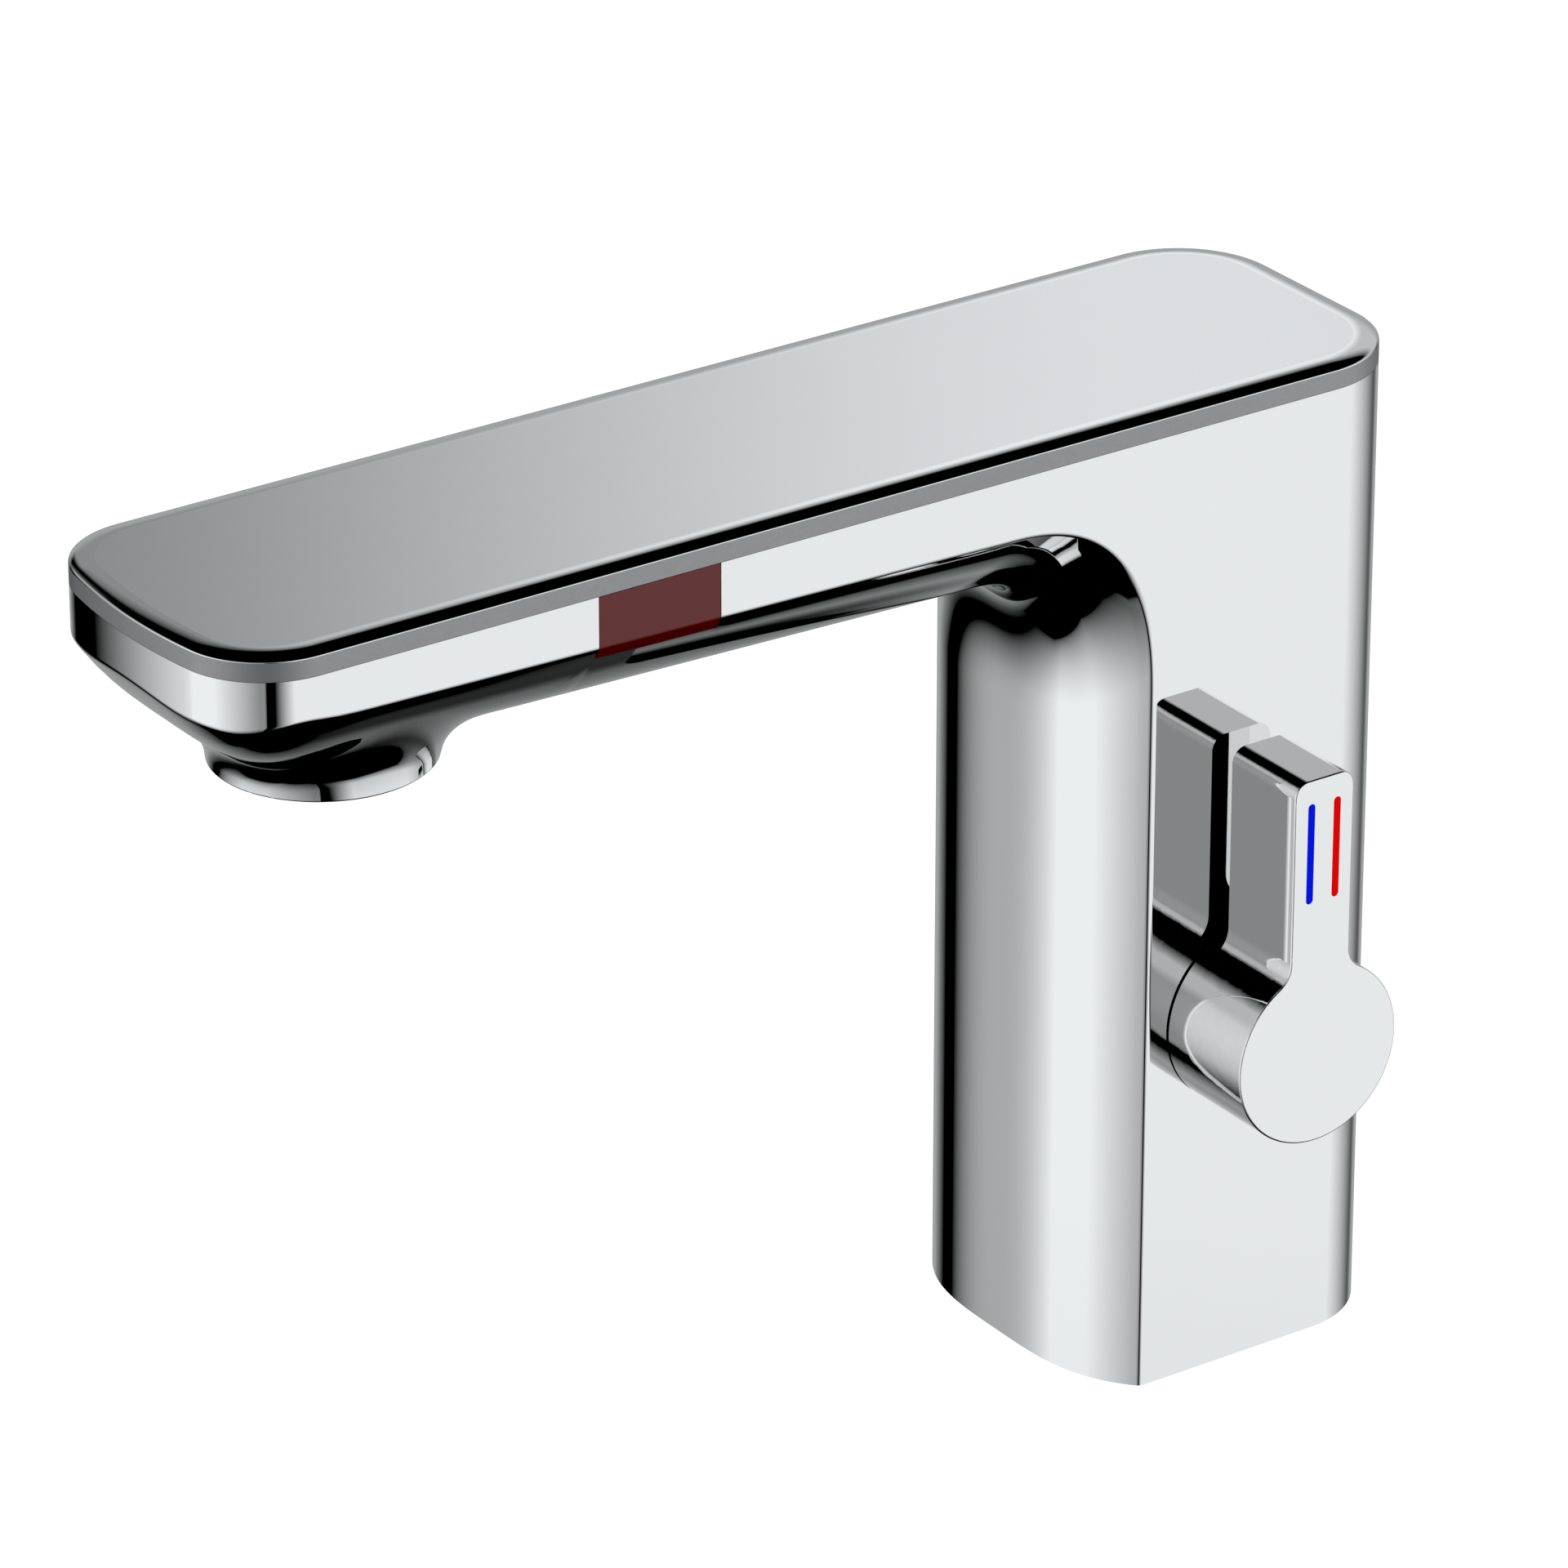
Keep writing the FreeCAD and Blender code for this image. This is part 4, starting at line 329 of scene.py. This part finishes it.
SIDE_WAY = np.array([1.0, 0.0, 0.0])


def edge_strip(rows, tip, inset):
    """Rounded edge from the foot on the +x side round the spout's end to the foot on the -x side. On
    the inner wall, which stays sharp, every row is the edge line itself."""
    outward = outward_of(tip)[1:-1]
    tip_inner = lift(tip[1:-1, :2] - outward[:, :2], 0.0)
    tip_inner[:, 2] = underside_z(tip_inner[:, 0], tip_inner[:, 1], inset)
    edge = np.concatenate([rows[:, -1], tip[1:-1], rows[::-1, 0]])
    inner = np.concatenate([rows[:, -2], tip_inner, rows[::-1, 1]])
    sides = np.broadcast_to(SIDE_WAY, (len(rows), 3))
    if inset:
        return np.broadcast_to(edge, (EDGE_STEPS + 1,) + edge.shape)
    return rounded_edge(edge, inner, np.concatenate([sides, outward, -sides]))


def column_grid(plan, heights, strip, wall):
    """The column's flat sides and back: the plan at every height. Its first and last columns lie on
    the rounded edge and, beside the arch and above it, on the ends of the spout's wall."""
    column = np.concatenate([np.broadcast_to(plan, (len(heights),) + plan.shape),
                             np.broadcast_to(heights[:, None, None], (len(heights), len(plan), 1))], -1)
    column[:, 0] = np.concatenate([strip[-1, :SPRING_ROW + 1], wall[1:, 0]])
    column[:, -1] = np.concatenate([strip[-1, :-SPRING_ROW - 2:-1], wall[1:, -1]])
    return column


def hub_plate(column):
    """Plate from the border of the column's cells beside the hub to a circle about the hub's axis,
    where each point of the circle lies at the angle of its border point."""
    low, high = HUB_ROWS
    border = np.concatenate([column[low, 1:LAST_SIDE], column[low:high, LAST_SIDE],
                             column[high, LAST_SIDE:1:-1], column[high:low:-1, 1]])
    angles = np.arctan2(border[:, 2] - HUB_Z, border[:, 1] - HUB_Y)
    circle = np.stack([border[:, 0], HUB_Y + HUB_BORE * np.cos(angles),
                       HUB_Z + HUB_BORE * np.sin(angles)], -1)
    return between(border, circle, HUB_PLATE_SHARES)


def kept_cells(grid, rows, columns):
    """True for every cell of a grid but those in the given rows and columns."""
    kept = np.ones((grid.shape[0] - 1, grid.shape[1] - 1), bool)
    kept[rows, columns] = False
    return kept


def casting_patches():
    """Skin, rounded edge, spout walls, column walls, hub plate and nozzle as matching outer and inner
    grids. The cells of the window and of the hub plate are left out of the grids they interrupt."""
    skins, strips, walls, columns, hubs, nozzles = [], [], [], [], [], []
    for inset in (0.0, WALL):
        rows = skin(inset, SHARES, COLUMN_HEIGHTS, TURNS, SPOUT_YS)
        count = len(rows)
        tip = front_outline(inset, SPOUT_YS[-1])
        tip = lift(tip, underside_z(tip[:, 0], tip[:, 1], inset))
        tip[0], tip[-1] = rows[-1, -1], rows[-1, 0]
        strip = edge_strip(rows, tip, inset)
        # The skin ends where the rounded edge begins, and the walls begin where it ends.
        rows[:, -1], rows[:, 0] = strip[0, :count], strip[0, :-count - 1:-1]
        low = strip[-1, SPRING_ROW:-SPRING_ROW]
        wall = between(low, lift(low[:, :2], BODY_TOP), WALL_SHARES)
        heights = np.concatenate([rows[:SPRING_ROW + 1, -1, 2], wall[1:, 0, 2]])
        column = column_grid(back_outline(inset, SIDE_YS), heights, strip, wall)
        skins.append(rows)
        strips.append(strip)
        walls.append(wall)
        columns.append(column)
        hubs.append(hub_plate(column))
        nozzles.append(nozzle_rings(inset, np.concatenate([rows[-1], strip[0, count:-count]])))
    every = slice(None)
    first, last = count - WINDOW_ROWS, count - 1
    kept_skin = kept_cells(skins[0], slice(first, last), -1)
    kept_strip = kept_cells(strips[0], every, slice(first, last))
    kept_wall = kept_cells(walls[0], every, slice(first - SPRING_ROW, last - SPRING_ROW))
    kept_column = kept_cells(columns[0], slice(*HUB_ROWS), slice(1, LAST_SIDE))
    return [(*skins, kept_skin, False), (*strips, kept_strip, False), (*walls, kept_wall, False),
            (*columns, kept_column, False), (*hubs, None, True), (*nozzles, None, True)]


def nozzle_rings(inset, border):
    """Rings from the nozzle's bore down, out over a rounded rim and up a quarter-circle flare, then to
    the border: each ring point lies on the line from the nozzle's axis to its border point. On the
    inner wall as many rings go down beside the boss and out over the underside."""
    centre = np.array([0.0, NOZZLE_Y])
    reach = border[:, :2] - centre
    distance = np.linalg.norm(reach, axis=1)
    aim = reach / distance[:, None]
    flare_end = NOZZLE_RADIUS + NOZZLE_FLARE
    last = distance - BORDER_GAP

    def ring(radius, z=None, drop=0.0):
        plan = centre + aim * np.broadcast_to(radius, distance.shape)[:, None]
        if z is None:
            z = underside_z(plan[:, 0], plan[:, 1], inset) - drop
        return lift(plan, z)

    if inset:
        rings = [ring(BOSS_RADIUS, BOSS_TOP - BOSS_STEP * step) for step in range(2 + len(RIM_TURNS))]
        rings += [ring(BOSS_RADIUS + (flare_end - BOSS_RADIUS) * (1 - math.cos(turn)))
                  for turn in NOZZLE_TURNS[1:]]
        last = distance - INNER_BORDER_GAP
        flare_end = np.minimum(flare_end, last - INNER_BORDER_GAP)
        rings[-1] = ring(flare_end)
    else:
        rings = [ring(NOZZLE_BORE, BOSS_TOP), ring(NOZZLE_BORE, NOZZLE_Z)]
        rings += [ring(NOZZLE_RADIUS - RIM_ROUND * (1 - math.sin(turn)),
                       NOZZLE_Z + RIM_ROUND * (1 - math.cos(turn))) for turn in RIM_TURNS]
        for turn in NOZZLE_TURNS[1:]:
            row = ring(NOZZLE_RADIUS + NOZZLE_FLARE * (1 - math.cos(turn)),
                       drop=NOZZLE_FLARE * (1 - math.sin(turn)))
            row[:, 2] = np.maximum(row[:, 2], NOZZLE_Z + RIM_ROUND + FLARE_CLIMB * turn)
            rings.append(row)
    rings += [ring(flare_end + (last - flare_end) * share)
              for share in np.linspace(0, 1, UNDERSIDE_ROWS)[1:]]
    return np.stack(rings + [border])


def casting(chrome):
    """Column, spout and nozzle as one closed shell with an inner wall."""
    points, faces = two_walls(casting_patches())
    obj = mesh_object("chromed_casting", points, faces, [chrome])
    shade(obj)
    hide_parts("body_shell")


def window(lens):
    """The casting's own skin, rounded edge and wall between the window's two ends, each a little
    smaller than the opening, with an inner wall that stays outside the cavity's corner."""
    ys = np.linspace(WINDOW_YS[1] - WINDOW_GAP, WINDOW_YS[0] + WINDOW_GAP, WINDOW_ROWS)
    low_x = HALF_WIDTH * WINDOW_SHARE + WINDOW_GAP
    skin_z = underside_z(np.full(len(ys), low_x), ys, 0.0)
    grids = []
    for inset in (0.0, LENS_WALL):
        x = HALF_WIDTH - inset
        low = np.stack([np.full(len(ys), x if inset else low_x), ys, skin_z + inset * LENS_LOW_RISE], -1)
        edge = np.stack([np.full(len(ys), x), ys, side_edge_z(ys) + inset * LENS_EDGE_RISE], -1)
        if inset:
            strip = np.broadcast_to(edge, (EDGE_STEPS + 1,) + edge.shape)
        else:
            strip = rounded_edge(edge, low, np.broadcast_to(SIDE_WAY, edge.shape))
        top = lift(strip[-1, :, :2], BODY_TOP - LENS_TOP_GAP)
        grids.append(np.concatenate([low[None], strip, between(strip[-1], top, LENS_SHARES)]))
    points, faces = two_walls([(*grids, None, False)])
    obj = mesh_object("sensor_window_lens", points, faces, [lens])
    shade(obj)
    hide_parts("sensor_window")


def cover(satin, chrome, dull):
    """Loops of the outline: up the rim, over a bevel that is a quarter of an ellipse, and flat on top;
    below, a hollow inside the rim, whose lip comes down over the gasket's edge. The flat is satin, the
    bevel bright and the rim rough chrome with a darker base that is painted shade."""
    def loop(inset, z):
        front = front_outline(inset, COLUMN_EDGE)
        back = back_outline(inset, np.array([COLUMN_EDGE, 0.0, COLUMN_BACK - BACK_RADIUS]))
        return lift(np.concatenate([front[1:-1], back[::-1]]), z)

    rim_top = SEAM_Z + COVER_RIM
    bevel = [loop(COVER_BEVEL * (1 - math.cos(turn)), rim_top + COVER_RISE * math.sin(turn))
             for turn in np.linspace(0, math.pi / 2, BEVEL_ROWS)]
    hollow_top = rim_top + COVER_RISE - COVER_SKIN
    loops = [loop(COVER_WALL, hollow_top), loop(COVER_WALL, SEAM_Z), loop(LIP, SEAM_Z),
             loop(LIP, BODY_TOP + LIP_GAP), loop(0.0, BODY_TOP + LIP_GAP)] + bevel
    grid = np.stack(loops)
    count = grid.shape[1]
    cells = cell_corners(len(grid), count, True)
    faces = cells.reshape(-1, 4).tolist()
    faces.append(list(range(count)))
    faces.append(list(range((len(grid) - 1) * count, len(grid) * count)))
    obj = mesh_object("satin_cover", grid.reshape(-1, 3), faces, [satin, chrome, dull])
    heights = np.array([face.center.z for face in obj.data.polygons]) / MM
    on_rim = heights < rim_top + RIM_MARGIN
    on_bevel = ~on_rim & (heights < rim_top + COVER_RISE - FLAT_MARGIN)
    # the rim's faces take the rough chrome whose darker grey base is painted shade
    finishes = np.where(on_rim, 2, on_bevel.astype(np.int32))
    obj.data.polygons.foreach_set("material_index", finishes)
    shade(obj)
    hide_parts("top_cover")


# ---- materials -------------------------------------------------------------------------------------
def linear(hex_colour):
    """sRGB hex to linear: c/12.92 below 0.04045, else ((c + 0.055) / 1.055) ^ 2.4."""
    parts = [int(hex_colour[k:k + 2], 16) / 255 for k in (0, 2, 4)]
    return tuple(c / 12.92 if c <= 0.04045 else ((c + 0.055) / 1.055) ** 2.4 for c in parts) + (1.0,)


def add(tree, kind, values=(), links=(), **settings):
    """Add one node: its properties, its input values by name or number, and links into it."""
    node = tree.nodes.new(kind)
    for key, value in settings.items():
        setattr(node, key, value)
    for key, value in dict(values).items():
        node.inputs[key].default_value = value
    for key, source in dict(links).items():
        tree.links.new(source, node.inputs[key])
    return node


DRIFT_SIZE = 30.0            # of the patches between a finish's two shades


def finish(name, colour, patch, roughness, grain, relief, sockets=(), stretch=(1, 1, 1)):
    """Surface whose colour drifts between two shades and whose roughness and relief follow a grain.
    The grain is its size in millimetres, and the relief its depth in millimetres."""
    material = bpy.data.materials.new(name)
    material.use_nodes = True
    tree = material.node_tree
    tree.nodes.clear()
    place = add(tree, "ShaderNodeTexCoord")
    run = add(tree, "ShaderNodeMapping", {"Scale": stretch}, {"Vector": place.outputs["Object"]})
    noise = add(tree, "ShaderNodeTexNoise", {"Scale": 1 / (grain * MM), "Detail": 3.0, "Roughness": 0.55},
                {"Vector": run.outputs["Vector"]})
    drift = add(tree, "ShaderNodeTexNoise", {"Scale": 1 / (DRIFT_SIZE * MM), "Detail": 2.0},
                {"Vector": place.outputs["Object"]})
    tint = add(tree, "ShaderNodeMix", {6: linear(colour), 7: linear(patch)},
               {0: drift.outputs["Fac"]}, data_type="RGBA")
    rough = add(tree, "ShaderNodeMapRange", {"From Min": 0.3, "From Max": 0.7, "To Min": roughness[0],
                                             "To Max": roughness[1]}, {"Value": noise.outputs["Fac"]})
    surface = add(tree, "ShaderNodeBsdfPrincipled", sockets,
                  {"Base Color": tint.outputs[2], "Roughness": rough.outputs["Result"]})
    if relief:
        bump = add(tree, "ShaderNodeBump", {"Strength": 1.0, "Distance": relief * MM},
                   {"Height": noise.outputs["Fac"]})
        tree.links.new(bump.outputs["Normal"], surface.inputs["Normal"])
    add(tree, "ShaderNodeOutputMaterial", links={"Surface": surface.outputs["BSDF"]})
    return material


METAL = {"Metallic": 1.0}
ENAMEL = {"Specular IOR Level": 0.05}
FINISHES = {
    # Bright chrome plate: a clear mirror with hardly any haze.
    "polished_chrome": finish("bright chrome plate", "F8F8F8", "F6F6F6", (0.015, 0.025), 0.6, 0, METAL),
    # Pearl chrome, plated over a fine blasted ground: a soft grey sheen without sharp reflections.
    "satin_chrome": finish("satin pearl chrome", "EFEFF0", "ECECED", (0.1, 0.13), 0.35, 0, METAL),
    # Moulded ABS of the aerator's ring: dull dark grey with a fine eroded grain.
    "nozzle_plastic": finish("moulded grey ABS", "3A3D40", "35383B", (0.42, 0.55), 0.4, 0.006),
    # Acetal of the aerator's insert: waxy off-white.
    "aerator_mesh": finish("moulded acetal", "D6D8D6", "CDD0CE", (0.35, 0.45), 0.8, 0.002,
                           {"Subsurface Weight": 0.15, "Subsurface Scale": 0.001}),
    # Infrared-pass acrylic: deep dark red under a hard clear gloss.
    "sensor_lens": finish("infrared-pass acrylic", "630404", "5C0404", (0.03, 0.05), 1.2, 0,
                          {"IOR": 1.49}),
    # Baked enamel in the cold and hot marks: flat strong colour, slightly orange-peeled gloss.
    "cold_blue": finish("blue baked enamel", "0018FF", "0016F4", (0.3, 0.4), 0.5, 0.003, ENAMEL),
    "hot_red": finish("red baked enamel", "FF0303", "F40202", (0.3, 0.4), 0.5, 0.003, ENAMEL),
    # EPDM rubber: deep matt black, faintly dusty.
    "black_rubber": finish("EPDM rubber", "1B1B1C", "232324", (0.7, 0.85), 0.5, 0.01),
    # Turned brass: warm, with fine tool marks round each piece.
    "brass": finish("turned brass", "C9A25A", "BD954E", (0.22, 0.34), 0.25, 0.002, METAL, (1, 1, 6)),
    # Cold-drawn stainless steel: grey with a faint drawn grain.
    "stainless": finish("drawn stainless steel", "B9BBBC", "ADAFB1", (0.22, 0.36), 0.25, 0.002, METAL,
                        (6, 6, 1)),
    # Lapped alumina ceramic: white and close to mirror smooth.
    "ceramic": finish("lapped alumina", "E9E7E0", "E2E0D8", (0.12, 0.18), 0.4, 0),
    # Moulded acetal of cartridge and check valves: off-white, soft gloss.
    "white_plastic": finish("white acetal", "DADAD5", "D0D0CA", (0.35, 0.45), 0.8, 0.002),
    # Glass-filled nylon of valve body and tray: black with a slightly rough flow grain.
    "black_plastic": finish("black glass-filled nylon", "1E1F21", "26272A", (0.45, 0.6), 0.35, 0.006),
    # Polyphenylene of the outlet elbow: plain mid grey.
    "grey_plastic": finish("grey PPE", "55585A", "4D5052", (0.4, 0.5), 0.5, 0.004),
    # Cast epoxy round the coil: glossy black with slight sink.
    "coil_cover": finish("cast epoxy", "17181B", "1D1E22", (0.18, 0.3), 2.0, 0.01),
    # Solder mask over copper: green gloss that shows the tracks as a faint mottle.
    "board_green": finish("green solder mask", "0E5A2E", "0A4A25", (0.2, 0.3), 0.9, 0.01),
    # Tinted epoxy of the infrared parts: dark violet, clear gloss.
    "eye_resin": finish("tinted epoxy", "2E1A36", "28162F", (0.06, 0.1), 1.0, 0),
}
# The cover's rim, blasted more coarsely than its top, so it mirrors nothing; its darker grey base is
# painted shade on the same chrome plating.
rough_shaded_rim = finish("rough chrome with painted shade", "B8B8B8", "B4B4B5", (0.5, 0.56), 0.35, 0.0004, METAL)


# ---- pieces ----------------------------------------------------------------------------------------
for part in frame["record"]["subparts"]:
    shown = frame["nodes"][part["node"]]
    shown.data.materials.clear()
    shown.data.materials.append(FINISHES[part["material_slot"]])

casting(FINISHES["polished_chrome"])
window(FINISHES["sensor_lens"])
cover(FINISHES["satin_chrome"], FINISHES["polished_chrome"], rough_shaded_rim)


# ---- studio ----------------------------------------------------------------------------------------
# The studio as panels by compass angle, from -y towards +x, in degrees: first edge, last edge and
# value. Between two panels the value goes evenly from one to the other. The walls are what upright
# faces mirror, and the upper ring is what the cover and the lever's top mirror.
WALL_PANELS = [
    (-165, -160, 0.1),       # dark gap behind the tap
    (-150, -105, 0.35),      # dim sheet at the back left
    (-83, -70, 0.0),         # black flag on the left
    (-35, -5, 0.85),         # large soft box in front
    (50, 56, 0.25),          # dim end of its sheet
    (57, 68, 0.0),           # narrow black flag
    (90, 150, 0.8),          # soft box on the right
]
RING_PANELS = [
    (-175, -132, 0.5),       # sheet behind the tap
    (-129, -126, 0.8),       # bright strip
    (-120, -110, 0.25),      # dim sheet
    (-106, -100, 0.0),       # black flag
    (-75, 170, 0.45),        # sheet all round
]
# Degrees below the horizon down to which each wall reaches.
DEPTH_PANELS = [(-165, -100, 65), (-90, -45, 50), (0, 45, 65), (100, 150, 50)]
COOL = (0.975, 1.0, 1.01)    # slightly cool light of the panels
WALLS_FULL = -28.0           # elevation from which the walls have their whole brightness
GAIN = 1.08                  # makes up for what the chrome swallows
DEPTH_POWER = 0.7            # below 1, so that the walls lose little light until close to the black
RING_EMPTY, RING_FULL = 13.0, 20.0     # elevations between which the ring takes over from the walls
FADE_FULL, FADE_EMPTY = 28.0, 36.0     # and between which the studio fades to black overhead


def panel_stops(panels):
    """Both edges of every panel with its value, and a stop at either end of the compass."""
    stops = [(edge, value) for first, last, value in panels for edge in (first, last)]
    behind = float(np.interp(180, *zip(*stops), period=360))
    return [(-180, behind)] + stops + [(180, behind)]


def compass_ramp(tree, angle, panels, tint):
    """Ramp over the whole compass from panel to panel, in the tint."""
    ramp = add(tree, "ShaderNodeValToRGB", links={"Fac": angle})
    stops = ramp.color_ramp.elements
    for place, (degrees, value) in enumerate(panel_stops(panels)):
        stop = stops[place] if place < 2 else stops.new(1.0)
        stop.position = (degrees + 180) / 360
        stop.color = tuple(value * part for part in tint) + (1,)
    return ramp.outputs["Color"]


def share_of_height(tree, height, empty, full, most=1.0):
    """0 to most between two elevations in degrees."""
    return add(tree, "ShaderNodeMapRange", {"From Min": math.sin(math.radians(empty)),
                                            "From Max": math.sin(math.radians(full)), "To Max": most},
               {"Value": height}).outputs["Result"]


def studio_world():
    """Walls that fade to black underfoot and overhead, as far as reflections go. The camera itself
    sees plain white."""
    world = bpy.data.worlds.new("studio")
    bpy.context.scene.world = world
    world.use_nodes = True
    tree = world.node_tree
    tree.nodes.clear()
    way = add(tree, "ShaderNodeTexCoord")
    split = add(tree, "ShaderNodeSeparateXYZ", links={"Vector": way.outputs["Generated"]})
    toward = add(tree, "ShaderNodeMath", {1: -1.0}, {0: split.outputs["Y"]}, operation="MULTIPLY")
    angle = add(tree, "ShaderNodeMath", links={0: split.outputs["X"], 1: toward.outputs[0]},
                operation="ARCTAN2")
    turn = add(tree, "ShaderNodeMapRange", {"From Min": -math.pi, "From Max": math.pi},
               {"Value": angle.outputs[0]})
    height = split.outputs["Z"]
    compass = turn.outputs["Result"]
    depths = [(first, last, math.sin(math.radians(depth))) for first, last, depth in DEPTH_PANELS]
    below = add(tree, "ShaderNodeMath", {1: -1.0}, {0: compass_ramp(tree, compass, depths, (1, 1, 1))},
                operation="MULTIPLY")
    rising = add(tree, "ShaderNodeMapRange", {"From Max": math.sin(math.radians(WALLS_FULL))},
                 {"Value": height, "From Min": below.outputs[0]})
    low = add(tree, "ShaderNodeMath", {1: DEPTH_POWER}, {0: rising.outputs["Result"]},
              operation="POWER")
    band = add(tree, "ShaderNodeMath", operation="MULTIPLY",
               links={0: low.outputs[0], 1: share_of_height(tree, height, FADE_EMPTY, FADE_FULL, GAIN)})
    round_about = add(tree, "ShaderNodeMix", data_type="RGBA",
                      links={0: share_of_height(tree, height, RING_EMPTY, RING_FULL),
                             6: compass_ramp(tree, compass, WALL_PANELS, COOL),
                             7: compass_ramp(tree, compass, RING_PANELS, COOL)})
    seen = add(tree, "ShaderNodeBackground", links={"Color": round_about.outputs[2],
                                                    "Strength": band.outputs[0]})
    white = add(tree, "ShaderNodeBackground", {"Color": (1, 1, 1, 1), "Strength": 1.0})
    ray = add(tree, "ShaderNodeLightPath")
    mixed = add(tree, "ShaderNodeMixShader", links={0: ray.outputs["Is Camera Ray"],
                                                    1: seen.outputs[0], 2: white.outputs[0]})
    add(tree, "ShaderNodeOutputWorld", links={"Surface": mixed.outputs[0]})


FLOOR_REACH = 4000.0
FLOOR_Z = -0.4
PAPER_TO_CAMERA, PAPER_GLOW, PAPER_TO_PIECES = 0.2, 0.95, 0.12


def studio_floor():
    """Wide white sheet just below the foot. It is bright to the camera and keeps a faint shadow."""
    corners = np.array([(x * FLOOR_REACH, y * FLOOR_REACH, FLOOR_Z)
                        for x, y in ((-1, -1), (1, -1), (1, 1), (-1, 1))]) * MM
    mesh = bpy.data.meshes.new("floor")
    mesh.from_pydata(corners.tolist(), [], [[0, 1, 2, 3]])
    floor = bpy.data.objects.new("floor", mesh)
    bpy.context.scene.collection.objects.link(floor)
    floor.visible_glossy = False
    material = bpy.data.materials.new("white studio paper")
    material.use_nodes = True
    tree = material.node_tree
    tree.nodes.clear()
    paper = add(tree, "ShaderNodeBsdfDiffuse", {"Color": (PAPER_TO_CAMERA,) * 3 + (1,)})
    glow = add(tree, "ShaderNodeEmission", {"Color": (1, 1, 1, 1), "Strength": PAPER_GLOW})
    both = add(tree, "ShaderNodeAddShader", links={0: paper.outputs[0], 1: glow.outputs[0]})
    plain = add(tree, "ShaderNodeBsdfDiffuse", {"Color": (PAPER_TO_PIECES,) * 3 + (1,)})
    ray = add(tree, "ShaderNodeLightPath")
    mixed = add(tree, "ShaderNodeMixShader", links={0: ray.outputs["Is Camera Ray"],
                                                    1: plain.outputs[0], 2: both.outputs[0]})
    add(tree, "ShaderNodeOutputMaterial", links={"Surface": mixed.outputs[0]})
    mesh.materials.append(material)


LAMP_AIM = Vector((0.0, -0.06, 0.09))      # metres, as are the lamps' places and sizes
LAMPS = (("front light", (1.2, -1.4, 1.3), 44.0, 1.2), ("left light", (-1.5, -0.8, 1.2), 14.0, 1.2),
         ("back light", (0.2, 1.8, 1.4), 14.0, 1.4))


def soft_box(name, place, power, size):
    """Square lamp that looks at the middle of the tap and shows in no mirror."""
    lamp = bpy.data.lights.new(name, "AREA")
    lamp.energy = power
    lamp.size = size
    obj = bpy.data.objects.new(name, lamp)
    bpy.context.scene.collection.objects.link(obj)
    obj.location = place
    obj.rotation_euler = (LAMP_AIM - Vector(place)).to_track_quat("-Z", "Y").to_euler()
    obj.visible_glossy = False
    obj.visible_camera = False


studio_world()
studio_floor()
for lamp_values in LAMPS:
    soft_box(*lamp_values)

# ---- camera ----------------------------------------------------------------------------------------
CAMERA_PLACE = (937.25, -710.38, 639.49)
CAMERA_AIM = (-0.7426, 0.5131, -0.4305)
FOCAL_LENGTH, FILM_WIDTH = 212.77, 36.0
NEAREST, FARTHEST = 0.01, 100.0            # metres

optics = bpy.data.cameras.new("camera")
optics.lens, optics.sensor_width = FOCAL_LENGTH, FILM_WIDTH
optics.clip_start, optics.clip_end = NEAREST, FARTHEST
camera = bpy.data.objects.new("camera", optics)
bpy.context.scene.collection.objects.link(camera)
camera.location = Vector(CAMERA_PLACE) * MM
camera.rotation_euler = Vector(CAMERA_AIM).to_track_quat("-Z", "Y").to_euler()
bpy.context.scene.camera = camera

bpy.context.scene.view_settings.view_transform = "Standard"
